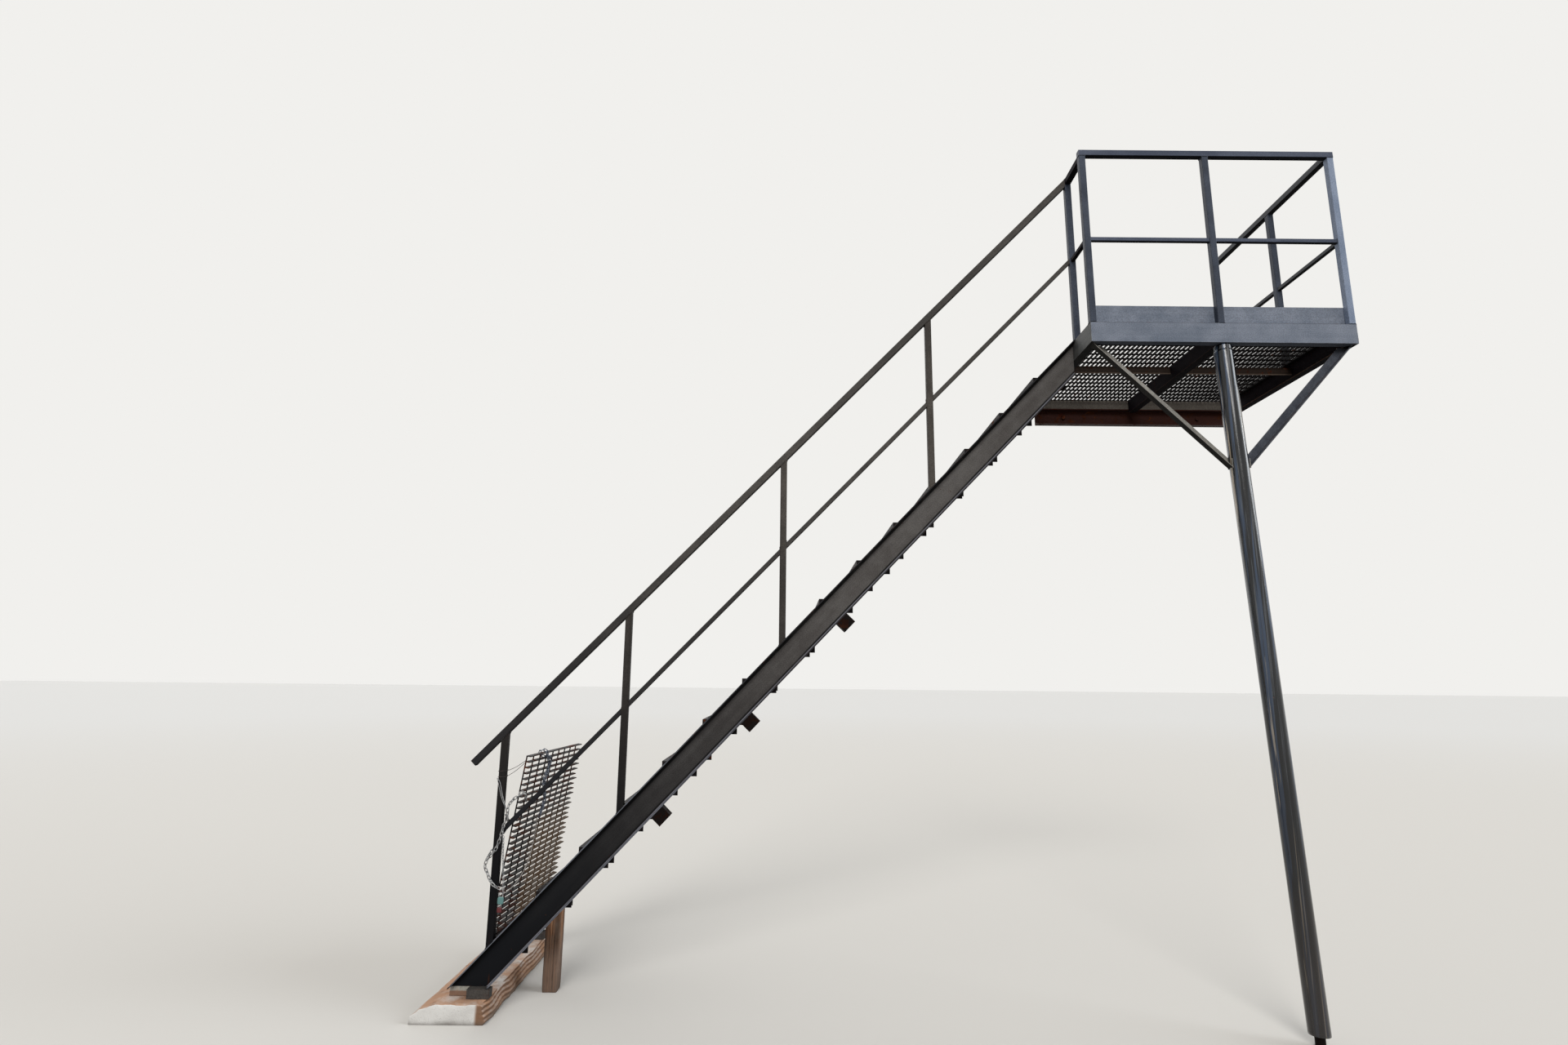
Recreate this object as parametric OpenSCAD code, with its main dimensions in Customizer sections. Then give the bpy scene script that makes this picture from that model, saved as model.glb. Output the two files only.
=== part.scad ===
// Fire escape stair: a steep steel flight up to a small railed platform on a wall.
// Millimetres. +X runs along the wall towards the platform's free end, +Y points into the wall
// and +Z is up. The origin is the middle of the wall ledger's back face.

/* [Platform] */
// Width of the platform along the wall
platform_w = 1541; // [1200:1:2400]
// Depth of the platform, from the wall to its outer face
platform_d = 1300; // [1200:1:1800]
// Height of the platform floor above the middle of the wall ledger
deck_z = 146; // [130:1:200]
// Height of the channels that frame the platform
channel_h = 120; // [100:1:160]
// Width of a frame channel's flanges
channel_flange = 50; // [40:1:60]
// Thickness of a frame channel
channel_t = 6; // [4:0.5:9]
// Height of the toe plate above the floor
toe_h = 120; // [80:1:160]
// Thickness of the toe plate
toe_t = 6; // [4:0.5:10]
// Leg of the angles that carry the floor
bearer_leg = 50; // [40:1:60]
// Thickness of the bearer, brace and carrier steel
plate_t = 5; // [4:0.5:8]

/* [Wall ledger] */
// How far the ledger stops short of each end of the platform
ledger_inset = 70.5; // [60:0.5:200]
// Height of the ledger
ledger_h = 115; // [90:1:140]
// How far the ledger stands out from the wall
ledger_out = 50; // [40:1:70]
// Distance from the ledger's ends to its two bolts
ledger_bolt_inset = 207.5; // [60:0.5:400]
// Diameter of the ledger's bolt holes
ledger_bolt_d = 18; // [12:0.5:24]

/* [Floor grating] */
// Distance between the grating's bearing bars
bar_pitch = 30.16; // [25:0.01:40]
// Height of the bearing bars
bar_h = 25; // [20:1:32]
// Thickness of the bearing bars
bar_t = 5; // [3:0.5:6]
// Distance between the floor's cross rods
floor_rod_pitch = 76; // [50:1:110]
// Thickness of the cross rods
rod_t = 6; // [4:0.5:8]
// Clearance round the floor panels
grating_gap = 6; // [3:0.5:12]

/* [Railing] */
// Side of the square tube of posts, top rails and handrail
tube = 38; // [30:1:45]
// Side of the square tube of the middle rails
mid_tube = 25; // [20:1:28]
// Radius of the tubes' rounded corners
tube_round = 4; // [2:0.5:6]
// Height of the platform's top rail above the floor
rail_h = 1124; // [900:1:1200]
// Height of the platform's middle rail above the floor
mid_rail_h = 546; // [400:1:700]
// Height of the stair's handrail above the stringer, at the platform
stair_rail_h = 1091; // [850:1:1110]
// Height of the stair's middle rail above the stringer, at the platform
stair_mid_h = 539; // [400:1:700]
// How much more the stair's rails stand above the stringer at the lowest post
rail_spread = 28; // [0:1:60]
// Place of the middle post, from the middle of the platform
middle_post_x = -8; // [-200:1:200]
// Place of the end railing's post, from the wall
end_post_y = 680; // [400:1:900]
// Distance from the platform's end to the highest post on the flight
top_post_gap = 915; // [700:1:1000]
// Distance between the three posts below it
stair_post_gap = 875; // [700:1:1000]
// Distance between the two lowest stair posts
low_post_gap = 655; // [500:1:900]
// How far the handrail runs on past the lowest post
rail_overrun = 159; // [80:1:250]

/* [Stair] */
// Number of treads
treads = 15; // [10:1:16]
// Height of one step
rise = 228; // [200:0.5:240]
// Horizontal distance from one tread to the next
run = 218; // [190:0.5:260]
// Horizontal distance from the platform to the front edge of the top tread
top_run = 252; // [220:1:300]
// Height of the lowest tread above the stringers' level ends
last_step = 241; // [200:1:260]
// Depth of one tread from front to back
tread_d = 195; // [170:1:230]
// Clear width between the stringers
tread_w = 914; // [700:1:940]
// Height of the tread's end plates
end_plate_h = 80; // [60:1:90]
// Leg of the nosing angle along the tread's front edge
nosing_leg = 40; // [30:1:45]
// Distance between the treads' cross rods
tread_rod_pitch = 101.6; // [80:0.1:130]
// How far the stringers' top edge stands above the platform floor
stringer_lift = 6; // [0:1:20]
// Distance from the platform's outer face to the outer stringer's toes
stair_setback = 250; // [200:1:260]
// Depth of the stringer channel, across its slope
stringer_h = 152; // [130:1:170]
// Width of a stringer's flanges
stringer_flange = 50; // [40:1:60]
// Thickness of a stringer
stringer_t = 6; // [4:0.5:9]

/* [Ground] */
// Height of the feet under the stringers
foot_h = 46; // [20:1:80]
// Length of the feet under the stringers
foot_l = 118; // [60:1:130]
// Distance from the stringers' tips to their feet
foot_back = 106; // [80:1:110]
// Depth of the mortar packers beside the feet
packer_d = 95; // [50:1:120]
// Thickness of the concrete footing
footing_h = 98; // [60:1:200]
// Width of the concrete footing's top, along the wall
footing_w = 250; // [240:1:600]
// How far the footing's top reaches past the stringers' tips
footing_left = 26; // [10:1:100]
// How far the footing's base spreads out to the left of its top
footing_flare = 132; // [40:1:200]
// How far the footing reaches out past the outer stringer
footing_out = 73; // [40:1:120]
// How far the footing reaches past the wall stringer
footing_back = 16; // [0:1:30]

/* [Column] */
// Diameter of the column under the platform
column_d = 101.6; // [80:0.1:130]
// How far the column's foot leans away from the stair
column_lean = 126; // [0:1:200]
// Height of the cap on top of the column
cap_h = 35; // [20:1:60]
// How far the cap's side stands back from the column's
cap_step = 3; // [0:0.5:8]
// Diameter of the stub that the column stands on
stub_d = 48; // [35:1:70]
// Height of the stub that the column stands on
stub_h = 55; // [30:1:120]
// Drop of the braces from the channel to where they meet the column
brace_drop = 745; // [500:1:900]
// Leg of the brace angles
brace_leg = 45; // [35:1:55]
// Distance from the channel's ends to the braces
brace_inset = 18; // [5:1:60]
// How deep the braces' lower ends are let into the column's side
brace_seat = 8; // [4:1:15]

/* [Barrier and props] */
// Gap between the barrier and the tread's end on each side
barrier_gap = 7; // [5:0.5:60]
// Distance between the barrier's bearing bars
barrier_pitch = 31.2; // [28:0.1:36]
// Distance between the barrier's cross rods
barrier_rod_pitch = 101.6; // [80:0.1:108]
// Number of bearing bars in the barrier
barrier_bars = 31; // [20:1:34]
// Lean of the barrier towards the stair, in degrees
barrier_lean = 8.6; // [0:0.1:12]
// Turn of the barrier away from square, in degrees
barrier_turn = 4.4; // [0:0.1:6]
// How far the barrier's near corner hangs over the lowest tread's nosing
barrier_over = 24; // [0:1:30]
// Most that a barrier bar's rough cut end may fall short
barrier_cut = 36; // [0:1:60]
// Diameter of the thin line that is tied to the barrier
tie_d = 6; // [3:0.5:8]
// Side of the timber prop under the lowest treads
prop_side = 89; // [70:1:120]
// How far the timber prop stands to the left of the second tread's front edge
prop_left = 27; // [0:1:40]
// Distance from the middle of the treads to the timber prop
prop_offset = 50; // [0:1:200]
// Length of the blocks under the outer stringer, along its slope
block_l = 82; // [50:1:120]
// How far the blocks stand out under the outer stringer
block_out = 66; // [30:1:90]

/* [Hidden] */

$fn = 48;
paint = [0.13, 0.14, 0.15];
worn_paint = [0.26, 0.27, 0.29];
rust = [0.27, 0.16, 0.11];
red_rust = [0.22, 0.10, 0.08];
concrete = [0.72, 0.70, 0.66];
mortar = [0.66, 0.67, 0.68];
timber = [0.42, 0.33, 0.25];
line_grey = [0.55, 0.54, 0.52];
// A cut reaches this far past what it cuts
past = 1;

half_w = platform_w / 2;
channel_bottom = deck_z - channel_h;
grating_bottom = deck_z - bar_h;
ledger_w = platform_w - 2 * ledger_inset;
slope = atan(rise / run);
stringer_bottom = tread_z(1) - last_step;
stringer_drop = stringer_h / cos(slope);
footing_top = stringer_bottom - foot_h;
ground = footing_top - footing_h;
outer_y = -platform_d + stair_setback;
tread_y = outer_y + stringer_flange;
wall_side_y = tread_y + tread_w;
stringer_foot_x = -half_w - (deck_z + stringer_lift - stringer_bottom) * run / rise;
stringer_heel = stringer_drop * run / rise;
foot_x = stringer_foot_x + foot_back;
column_y = -platform_d + column_d / 2;
column_top_x = 10;
pipe_top = channel_bottom - cap_h;
cap_r = column_d / 2 - cap_step;
cap_round = cap_h / 3;
pipe_bottom = ground + stub_h;
lean_rate = column_lean / (pipe_top - pipe_bottom);
post_run = [0, top_post_gap, top_post_gap + stair_post_gap, top_post_gap + 2 * stair_post_gap,
            top_post_gap + 2 * stair_post_gap + low_post_gap];
rail_slope = atan(rise / run - rail_spread / post_run[4]);
// Places of the blocks, measured down the stringer's top edge from the platform
block_at = [2190, 2962, 3655];
barrier_x = tread_x(1) - barrier_over;
barrier_w = tread_w - 2 * barrier_gap;
// The slack line's route down the barrier's side, from a middle bar to the near edge
tie_path = [
    [-3966, -702, -2716], [-3967, -704, -2735], [-3967, -705, -2753], [-3968, -707, -2771],
    [-3968, -710, -2789], [-3969, -713, -2807], [-3970, -717, -2825], [-3971, -722, -2843],
    [-3973, -727, -2860], [-3974, -733, -2877], [-3976, -740, -2894], [-3978, -747, -2911],
    [-3980, -756, -2927], [-3983, -765, -2943], [-3985, -775, -2958], [-3988, -787, -2972],
    [-3991, -799, -2985], [-3995, -812, -2997], [-3998, -826, -3009], [-4002, -840, -3019],
    [-4006, -856, -3028], [-4010, -871, -3037], [-4015, -888, -3044], [-4019, -904, -3050],
    [-4023, -921, -3055], [-4028, -939, -3059], [-4032, -956, -3062], [-4037, -974, -3063],
    [-4041, -991, -3059]
];
tie_sides = 8;

function tread_name(k) = str("tread_", k < 10 ? "0" : "", k);
function tread_x(k) = -half_w - top_run - (treads - k) * run;
function tread_z(k) = deck_z - (treads + 1 - k) * rise;
// Height of the stringer's top edge at a place along the wall
function stringer_top(x) = deck_z + stringer_lift + (x + half_w) * rise / run;
// Height of the top of a stair rail at a place along the wall
function rail_top(x, height) = stringer_top(x) + height - (x + half_w) * rail_spread / post_run[4];
function column_x(z) = column_top_x + lean_rate * (pipe_top - z);

// Profile of a channel: web on the left, flanges to the right, outside corner at the origin
module channel_profile(h, flange, t) {
    difference() {
        square([flange, h]);
        translate([t, t]) square([flange, h - 2 * t]);
    }
}

// Profile of an angle: outside corner at the origin
module angle_profile(leg_x, leg_y, t) {
    square([leg_x, t]);
    square([t, leg_y]);
}

// Profile of a square tube with rounded corners, one corner at the origin
module tube_profile(size) {
    translate([tube_round, 0]) square([size - 2 * tube_round, size]);
    translate([0, tube_round]) square([size, size - 2 * tube_round]);
    for (x = [tube_round, size - tube_round], y = [tube_round, size - tube_round]) {
        translate([x, y]) circle(tube_round);
    }
}

// Lays a profile along +X, with its own x along +Y and its own y along +Z
module along_x(length) {
    rotate([90, 0, 90]) linear_extrude(length) children();
}

// Lays a profile along +Y, with its own x along +X and its own y along +Z
module along_y(length) {
    translate([0, length, 0]) rotate([90, 0, 0]) linear_extrude(length) children();
}

// A grating: bearing bars along Y spaced in X, tied by cross rods along X at their tops
module grating(width, length, pitch, rod_pitch) {
    bars = floor((width - bar_t) / pitch);
    first_bar = (width - bars * pitch - bar_t) / 2;
    rods = floor((length - rod_t) / rod_pitch);
    first_rod = (length - rods * rod_pitch - rod_t) / 2;
    for (i = [0 : bars]) {
        translate([first_bar + i * pitch, 0, 0]) cube([bar_t, length, bar_h]);
    }
    for (i = [0 : rods]) {
        translate([first_bar, first_rod + i * rod_pitch, bar_h - rod_t])
            cube([bars * pitch + bar_t, rod_t, rod_t]);
    }
}

module wall_ledger() {
    color(red_rust)
    difference() {
        translate([-ledger_w / 2, 0, -ledger_h / 2]) along_x(ledger_w)
            mirror([1, 0]) channel_profile(ledger_h, ledger_out, channel_t);
        for (side = [-1, 1]) {
            translate([side * (ledger_w / 2 - ledger_bolt_inset), past, 0]) rotate([90, 0, 0])
                cylinder(h = channel_t + 2 * past, d = ledger_bolt_d);
        }
    }
}

module outer_channel() {
    color(worn_paint)
    difference() {
        translate([-half_w, -platform_d, channel_bottom]) along_x(platform_w)
            channel_profile(channel_h, channel_flange, channel_t);
        for (side = [-1, 1]) {
            translate([side * half_w, -platform_d, channel_bottom - past]) rotate([0, 0, side * 45])
                translate([side > 0 ? 0 : -2 * channel_flange, 0, 0])
                cube([2 * channel_flange, 2 * channel_flange, channel_h + 2 * past]);
        }
    }
}

// An end channel with its web outwards, mitred into the outer channel
module end_channel() {
    difference() {
        translate([-half_w, -platform_d, channel_bottom]) along_y(platform_d)
            channel_profile(channel_h, channel_flange, channel_t);
        translate([-half_w, -platform_d, channel_bottom - past]) rotate([0, 0, -45])
            cube([2 * channel_flange, 2 * channel_flange, channel_h + 2 * past]);
    }
}

module left_end_channel() {
    color(worn_paint) end_channel();
}

module right_end_channel() {
    color(paint) mirror([1, 0, 0]) end_channel();
}

module middle_joist() {
    color(paint)
    translate([-channel_flange / 2, -platform_d + channel_t, channel_bottom + channel_t])
        along_y(platform_d - channel_t - ledger_out)
        channel_profile(grating_bottom - channel_bottom - channel_t, channel_flange, channel_t);
}

// Two lengths of angle across the platform, one on each side of the middle joist
module bearer(y) {
    for (side = [-1, 1]) {
        from = side > 0 ? channel_flange / 2 : -half_w + channel_t;
        to = side > 0 ? half_w - channel_t : -channel_flange / 2;
        translate([from, y, grating_bottom]) along_x(to - from)
            mirror([0, 1]) angle_profile(bearer_leg, bearer_leg, plate_t);
    }
}

module front_bearer() {
    color(rust) bearer(-platform_d + channel_flange);
}

module middle_bearer() {
    color(rust) bearer(-platform_d / 2 - bearer_leg);
}

module wall_bearer() {
    color(worn_paint)
    translate([-ledger_w / 2, -ledger_out, grating_bottom]) along_x(ledger_w)
        mirror([0, 1]) angle_profile(ledger_out, grating_bottom - ledger_h / 2, plate_t);
}

// Half of the floor, from the frame to the middle joist's centre line
module floor_half() {
    inner = half_w - channel_flange - 1.5 * grating_gap;
    length = platform_d - channel_flange - 2 * grating_gap;
    translate([grating_gap / 2, -platform_d + channel_flange + grating_gap, grating_bottom])
        grating(inner, length, bar_pitch, floor_rod_pitch);
}

module left_floor_grating() {
    color(paint) mirror([1, 0, 0]) floor_half();
}

module right_floor_grating() {
    color(paint) floor_half();
}

module toe_plate() {
    color(worn_paint)
    translate([-half_w + channel_t, -platform_d + tube, deck_z])
        cube([platform_w - 2 * channel_t, toe_t, toe_h]);
}

// A platform post from the frame up to the underside of the top rail
module platform_post(x, y) {
    translate([x, y, deck_z]) linear_extrude(rail_h - tube) tube_profile(tube);
}

module left_corner_post() {
    color(worn_paint) platform_post(-half_w, -platform_d);
}

module middle_post() {
    color(worn_paint) platform_post(middle_post_x - tube / 2, -platform_d);
}

module right_corner_post() {
    color(worn_paint) platform_post(half_w - tube, -platform_d);
}

module end_rail_post() {
    color(worn_paint) platform_post(half_w - tube, -end_post_y - tube / 2);
}

// A rail along the platform's outer edge, in line with the posts
module front_rail(top, size) {
    translate([-half_w, -platform_d + (tube - size) / 2, deck_z + top - size])
        along_x(platform_w) tube_profile(size);
}

// A rail along the platform's free end, from the front rail to the wall
module end_rail(top, size) {
    translate([half_w - (tube + size) / 2, -platform_d + tube, deck_z + top - size])
        along_y(platform_d - tube) tube_profile(size);
}

module front_top_rail() {
    color(worn_paint) front_rail(rail_h, tube);
}

module end_top_rail() {
    color(worn_paint) end_rail(rail_h, tube);
}

module front_mid_rail() {
    color(worn_paint)
    difference() {
        front_rail(mid_rail_h, mid_tube);
        left_corner_post();
        middle_post();
        right_corner_post();
    }
}

module end_mid_rail() {
    color(worn_paint)
    difference() {
        end_rail(mid_rail_h, mid_tube);
        end_rail_post();
    }
}

// Short rails from the left corner post back to the stair's top post, level with the stair's rails
module corner_rail_links() {
    color(worn_paint) {
        corner_link(stair_rail_h, tube);
        corner_link(stair_mid_h, mid_tube);
    }
}

module corner_link(height, size) {
    translate([-half_w + (tube - size) / 2, -platform_d + tube, rail_top(-half_w, height) - size])
        along_y(stair_setback - tube) tube_profile(size);
}

// Side view of the flight's channel, cut plumb at the platform and level at the foot
module stringer_outline() {
    polygon([
        [-half_w, stringer_top(-half_w)],
        [-half_w, stringer_top(-half_w) - stringer_drop],
        [stringer_foot_x + stringer_heel, stringer_bottom],
        [stringer_foot_x, stringer_bottom]
    ]);
}

// A stringer from y = 0, web against the treads and flanges pointing to -Y
module stringer() {
    difference() {
        rotate([90, 0, 0]) linear_extrude(stringer_flange) stringer_outline();
        translate([0, -stringer_t, 0]) rotate([90, 0, 0]) linear_extrude(stringer_flange)
            stringer_hollow();
    }
}

// What is cut out of a stringer between its flanges
module stringer_hollow() {
    far = 2 * stringer_flange;
    top = stringer_t / cos(slope);
    polygon([
        [-half_w + far, stringer_top(-half_w + far) - top],
        [-half_w + far, stringer_top(-half_w + far) - stringer_drop + top],
        [stringer_foot_x - far, stringer_top(stringer_foot_x - far) - stringer_drop + top],
        [stringer_foot_x - far, stringer_top(stringer_foot_x - far) - top]
    ]);
}

module outer_stringer() {
    color(paint) translate([0, tread_y, 0]) stringer();
}

module wall_stringer() {
    color(paint) translate([0, wall_side_y, 0]) mirror([0, 1, 0]) stringer();
}

module stringer_feet() {
    color(paint)
    for (y = [outer_y, wall_side_y]) {
        translate([foot_x, y, footing_top]) cube([foot_l, stringer_flange, foot_h]);
    }
}

// Mortar packers beside the feet, under the stringers' tips
module foot_packers() {
    color(mortar)
    for (y = [tread_y - stringer_t, wall_side_y + stringer_t - packer_d]) {
        translate([stringer_foot_x + past, y, footing_top]) cube([foot_back - past, packer_d, foot_h]);
    }
}

// The plates at one end of every tread, against a stringer's web
module tread_plates(y) {
    color(paint)
    for (k = [1 : treads]) {
        translate([tread_x(k), y, tread_z(k) - end_plate_h])
            cube([tread_d, plate_t, end_plate_h]);
    }
}

module outer_tread_plates() {
    tread_plates(tread_y);
}

module wall_tread_plates() {
    tread_plates(wall_side_y - plate_t);
}

// One tread: a nosing angle and bearing bars tied by cross rods, between the end plates
module tread(k) {
    length = tread_w - 2 * plate_t;
    bars = floor((tread_d - plate_t - nosing_leg) / bar_pitch);
    rods = floor(length / tread_rod_pitch);
    first_rod = (length - (rods - 1) * tread_rod_pitch - rod_t) / 2;
    color(paint)
    translate([tread_x(k), tread_y + plate_t, tread_z(k)]) {
        along_y(length) mirror([0, 1]) angle_profile(nosing_leg, nosing_leg, plate_t);
        for (i = [0 : bars]) {
            translate([tread_d - bar_t - i * bar_pitch, 0, -bar_h]) cube([bar_t, length, bar_h]);
        }
        for (i = [0 : rods - 1]) {
            translate([plate_t / 2, first_rod + i * tread_rod_pitch, -rod_t])
                cube([tread_d - plate_t, rod_t, rod_t]);
        }
    }
}

// A stair post, upright on the outer stringer's top flange
module stair_post(i) {
    x = -half_w - post_run[i];
    drop = tube / cos(rail_slope);
    intersection() {
        translate([x, outer_y, stringer_top(x)]) linear_extrude(2 * stair_rail_h) tube_profile(tube);
        translate([0, outer_y + tube, 0]) rotate([90, 0, 0]) linear_extrude(tube) polygon([
            [x, stringer_top(x)],
            [x + tube, stringer_top(x + tube)],
            [x + tube, rail_top(x + tube, stair_rail_h) - drop],
            [x, rail_top(x, stair_rail_h) - drop]
        ]);
    }
}

// The top post stands on the platform's end channel and carries the corner rail links
module stair_top_post() {
    color(worn_paint)
    translate([-half_w, outer_y, deck_z]) linear_extrude(rail_top(-half_w, stair_rail_h) - deck_z)
        tube_profile(tube);
}

module stair_post_4() {
    color(paint) stair_post(1);
}

module stair_post_3() {
    color(paint) stair_post(2);
}

module stair_post_2() {
    color(paint) stair_post(3);
}

module stair_post_1() {
    color(paint) stair_post(4);
}

// A sloping rail, cut plumb at the platform and square at its low end
module sloped_rail(height, size, overrun) {
    low_x = -half_w - post_run[4] - overrun;
    difference() {
        translate([low_x, outer_y + (tube - size) / 2, rail_top(low_x, height)])
            rotate([0, -rail_slope, 0]) translate([0, 0, -size])
            along_x((-half_w - low_x) / cos(rail_slope)) tube_profile(size);
        translate([-half_w, outer_y - past, rail_top(-half_w, height) - 3 * size])
            cube([3 * size, tube + 2 * past, 4 * size]);
    }
}

module stair_hand_rail() {
    color(paint) sloped_rail(stair_rail_h, tube, rail_overrun);
}

module stair_mid_rail() {
    color(paint)
    difference() {
        sloped_rail(stair_mid_h, mid_tube, 0);
        for (i = [1 : 4]) stair_post(i);
    }
}

// A plug with a rounded shoulder, between the column and the outer channel
module column_cap() {
    color(paint)
    translate([column_top_x, column_y, pipe_top]) rotate_extrude() {
        square([cap_r - cap_round, cap_h]);
        square([cap_r, cap_h - cap_round]);
        translate([cap_r - cap_round, cap_h - cap_round]) circle(cap_round);
    }
}

// The column leans a little, and its ends are cut level
module column_pipe() {
    reach = column_d * lean_rate;
    length = norm([column_lean, pipe_top - pipe_bottom]);
    color(paint)
    intersection() {
        translate([column_top_x, column_y, pipe_top])
            rotate([0, 180 - atan(lean_rate), 0])
            translate([0, 0, -reach]) cylinder(h = length + 2 * reach, d = column_d);
        translate([column_top_x - 2 * column_d, column_y - column_d, pipe_bottom])
            cube([4 * column_d + column_lean, 2 * column_d, pipe_top - pipe_bottom]);
    }
}

module column_foot() {
    color(rust)
    translate([column_x(pipe_bottom), column_y, ground]) cylinder(h = stub_h, d = stub_d);
}

// A sloping angle from under the end of the outer channel down to the column
module brace(side) {
    top_x = side * (half_w - brace_inset);
    low_z = channel_bottom - brace_drop;
    low_x = column_x(low_z) + side * (column_d / 2 - brace_seat);
    across = [low_x - top_x, -brace_drop] / norm([low_x - top_x, brace_drop]);
    wide = brace_leg / abs(across[0]);
    translate([0, column_y + brace_leg / 2, 0]) rotate([90, 0, 0]) {
        linear_extrude(plate_t) polygon([
            [top_x, channel_bottom],
            [top_x - side * brace_leg / abs(across[1]), channel_bottom],
            [low_x, low_z + wide],
            [low_x, low_z]
        ]);
        linear_extrude(brace_leg) polygon([
            [top_x, channel_bottom],
            [top_x - side * plate_t / abs(across[1]), channel_bottom],
            [low_x, low_z + plate_t / abs(across[0])],
            [low_x, low_z]
        ]);
    }
}

module left_brace() {
    color(worn_paint) brace(-1);
}

module right_brace() {
    color(worn_paint) brace(1);
}

// Three short blocks against the underside of the outer stringer
module stringer_blocks() {
    color(rust)
    translate([-half_w, outer_y, stringer_top(-half_w)]) rotate([0, 180 - slope, 0])
        for (along = block_at) {
            translate([along, 0, stringer_h]) cube([block_l, 1.5 * stringer_flange, block_out]);
        }
}

// A post cut to stand under the second tread's nosing
module timber_prop() {
    color(timber)
    translate([tread_x(2) - prop_left, tread_y + tread_w / 2 - prop_offset - prop_side, ground])
        cube([prop_side, prop_side, tread_z(2) - nosing_leg - ground]);
}

// How much shorter than the others a bar of the barrier was cut, irregular like the real ones
function cut_short(i) = (1 + sin(i * 137)) * barrier_cut / 2;

// The barrier is a cut length of grating that stands on the lowest tread. Its bars lie one above
// the other, tied by cross rods from their near ends on, and their far ends are rough cut.
module barrier_panel() {
    height = (barrier_bars - 1) * barrier_pitch + bar_t;
    rods = floor((barrier_w - bar_t) / barrier_rod_pitch);
    color(rust)
    translate([barrier_x, tread_y + barrier_gap, tread_z(1) + bar_h * sin(barrier_lean)])
        rotate([0, 0, -barrier_turn]) rotate([0, barrier_lean, 0]) {
        for (i = [0 : barrier_bars - 1]) {
            translate([0, 0, i * barrier_pitch]) cube([bar_h, barrier_w - cut_short(i), bar_t]);
        }
        for (i = [0 : rods]) {
            translate([0, i * barrier_rod_pitch, 0]) cube([rod_t, rod_t, height]);
        }
    }
}

function unit(v) = v / norm(v);
// Direction of the tie line at a point of its route
function tie_way(i) = unit(tie_path[min(i + 1, len(tie_path) - 1)] - tie_path[max(i - 1, 0)]);
// One ring of points square to the tie line
function tie_ring(i) =
    let (way = tie_way(i), side = unit(cross(way, [1, 0, 0])), over = cross(side, way))
    [for (k = [0 : tie_sides - 1]) tie_path[i]
        + (cos(k * 360 / tie_sides) * side + sin(k * 360 / tie_sides) * over) * tie_d / 2];

// A thin slack line, swept as a tube along its route
module tie_line() {
    rings = len(tie_path);
    color(line_grey)
    polyhedron(
        points = [for (i = [0 : rings - 1]) each tie_ring(i)],
        faces = concat(
            [[for (k = [0 : tie_sides - 1]) k]],
            [for (i = [0 : rings - 2], k = [0 : tie_sides - 1]) [
                i * tie_sides + k,
                (i + 1) * tie_sides + k,
                (i + 1) * tie_sides + (k + 1) % tie_sides,
                i * tie_sides + (k + 1) % tie_sides
            ]],
            [[for (k = [tie_sides - 1 : -1 : 0]) (rings - 1) * tie_sides + k]]
        )
    );
}

// A rough pour: its sides spread out towards the ground
module concrete_footing() {
    front = outer_y - footing_out;
    length = wall_side_y + stringer_flange + footing_back - front;
    color(concrete)
    translate([stringer_foot_x - footing_left, front, ground]) along_y(length) polygon([
        [-footing_flare, 0],
        [-footing_flare, 0.35 * footing_h],
        [-0.65 * footing_flare, 0.75 * footing_h],
        [0, footing_h],
        [footing_w, footing_h],
        [footing_w + 0.15 * footing_flare, 0.2 * footing_h],
        [footing_w + 0.15 * footing_flare, 0]
    ]);
}

wall_ledger();
outer_channel();
left_end_channel();
right_end_channel();
middle_joist();
front_bearer();
middle_bearer();
wall_bearer();
left_floor_grating();
right_floor_grating();
toe_plate();
left_corner_post();
middle_post();
right_corner_post();
end_rail_post();
front_top_rail();
end_top_rail();
front_mid_rail();
end_mid_rail();
corner_rail_links();
outer_stringer();
wall_stringer();
stringer_feet();
foot_packers();
outer_tread_plates();
wall_tread_plates();
for (k = [1 : treads]) tread(k);
stair_top_post();
stair_post_4();
stair_post_3();
stair_post_2();
stair_post_1();
stair_hand_rail();
stair_mid_rail();
column_cap();
column_pipe();
column_foot();
left_brace();
right_brace();
stringer_blocks();
timber_prop();
barrier_panel();
tie_line();
concrete_footing();
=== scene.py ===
"""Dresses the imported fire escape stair: finishes for every CAD node, the floor's gratings, weld
beads, bolts, rough concrete and timber, the glossy column, and the chains, locks, wires and slack
line that hold the loose grating at the foot."""

import itertools
import math

import bpy
import numpy as np
from mathutils import Matrix, Vector


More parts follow.
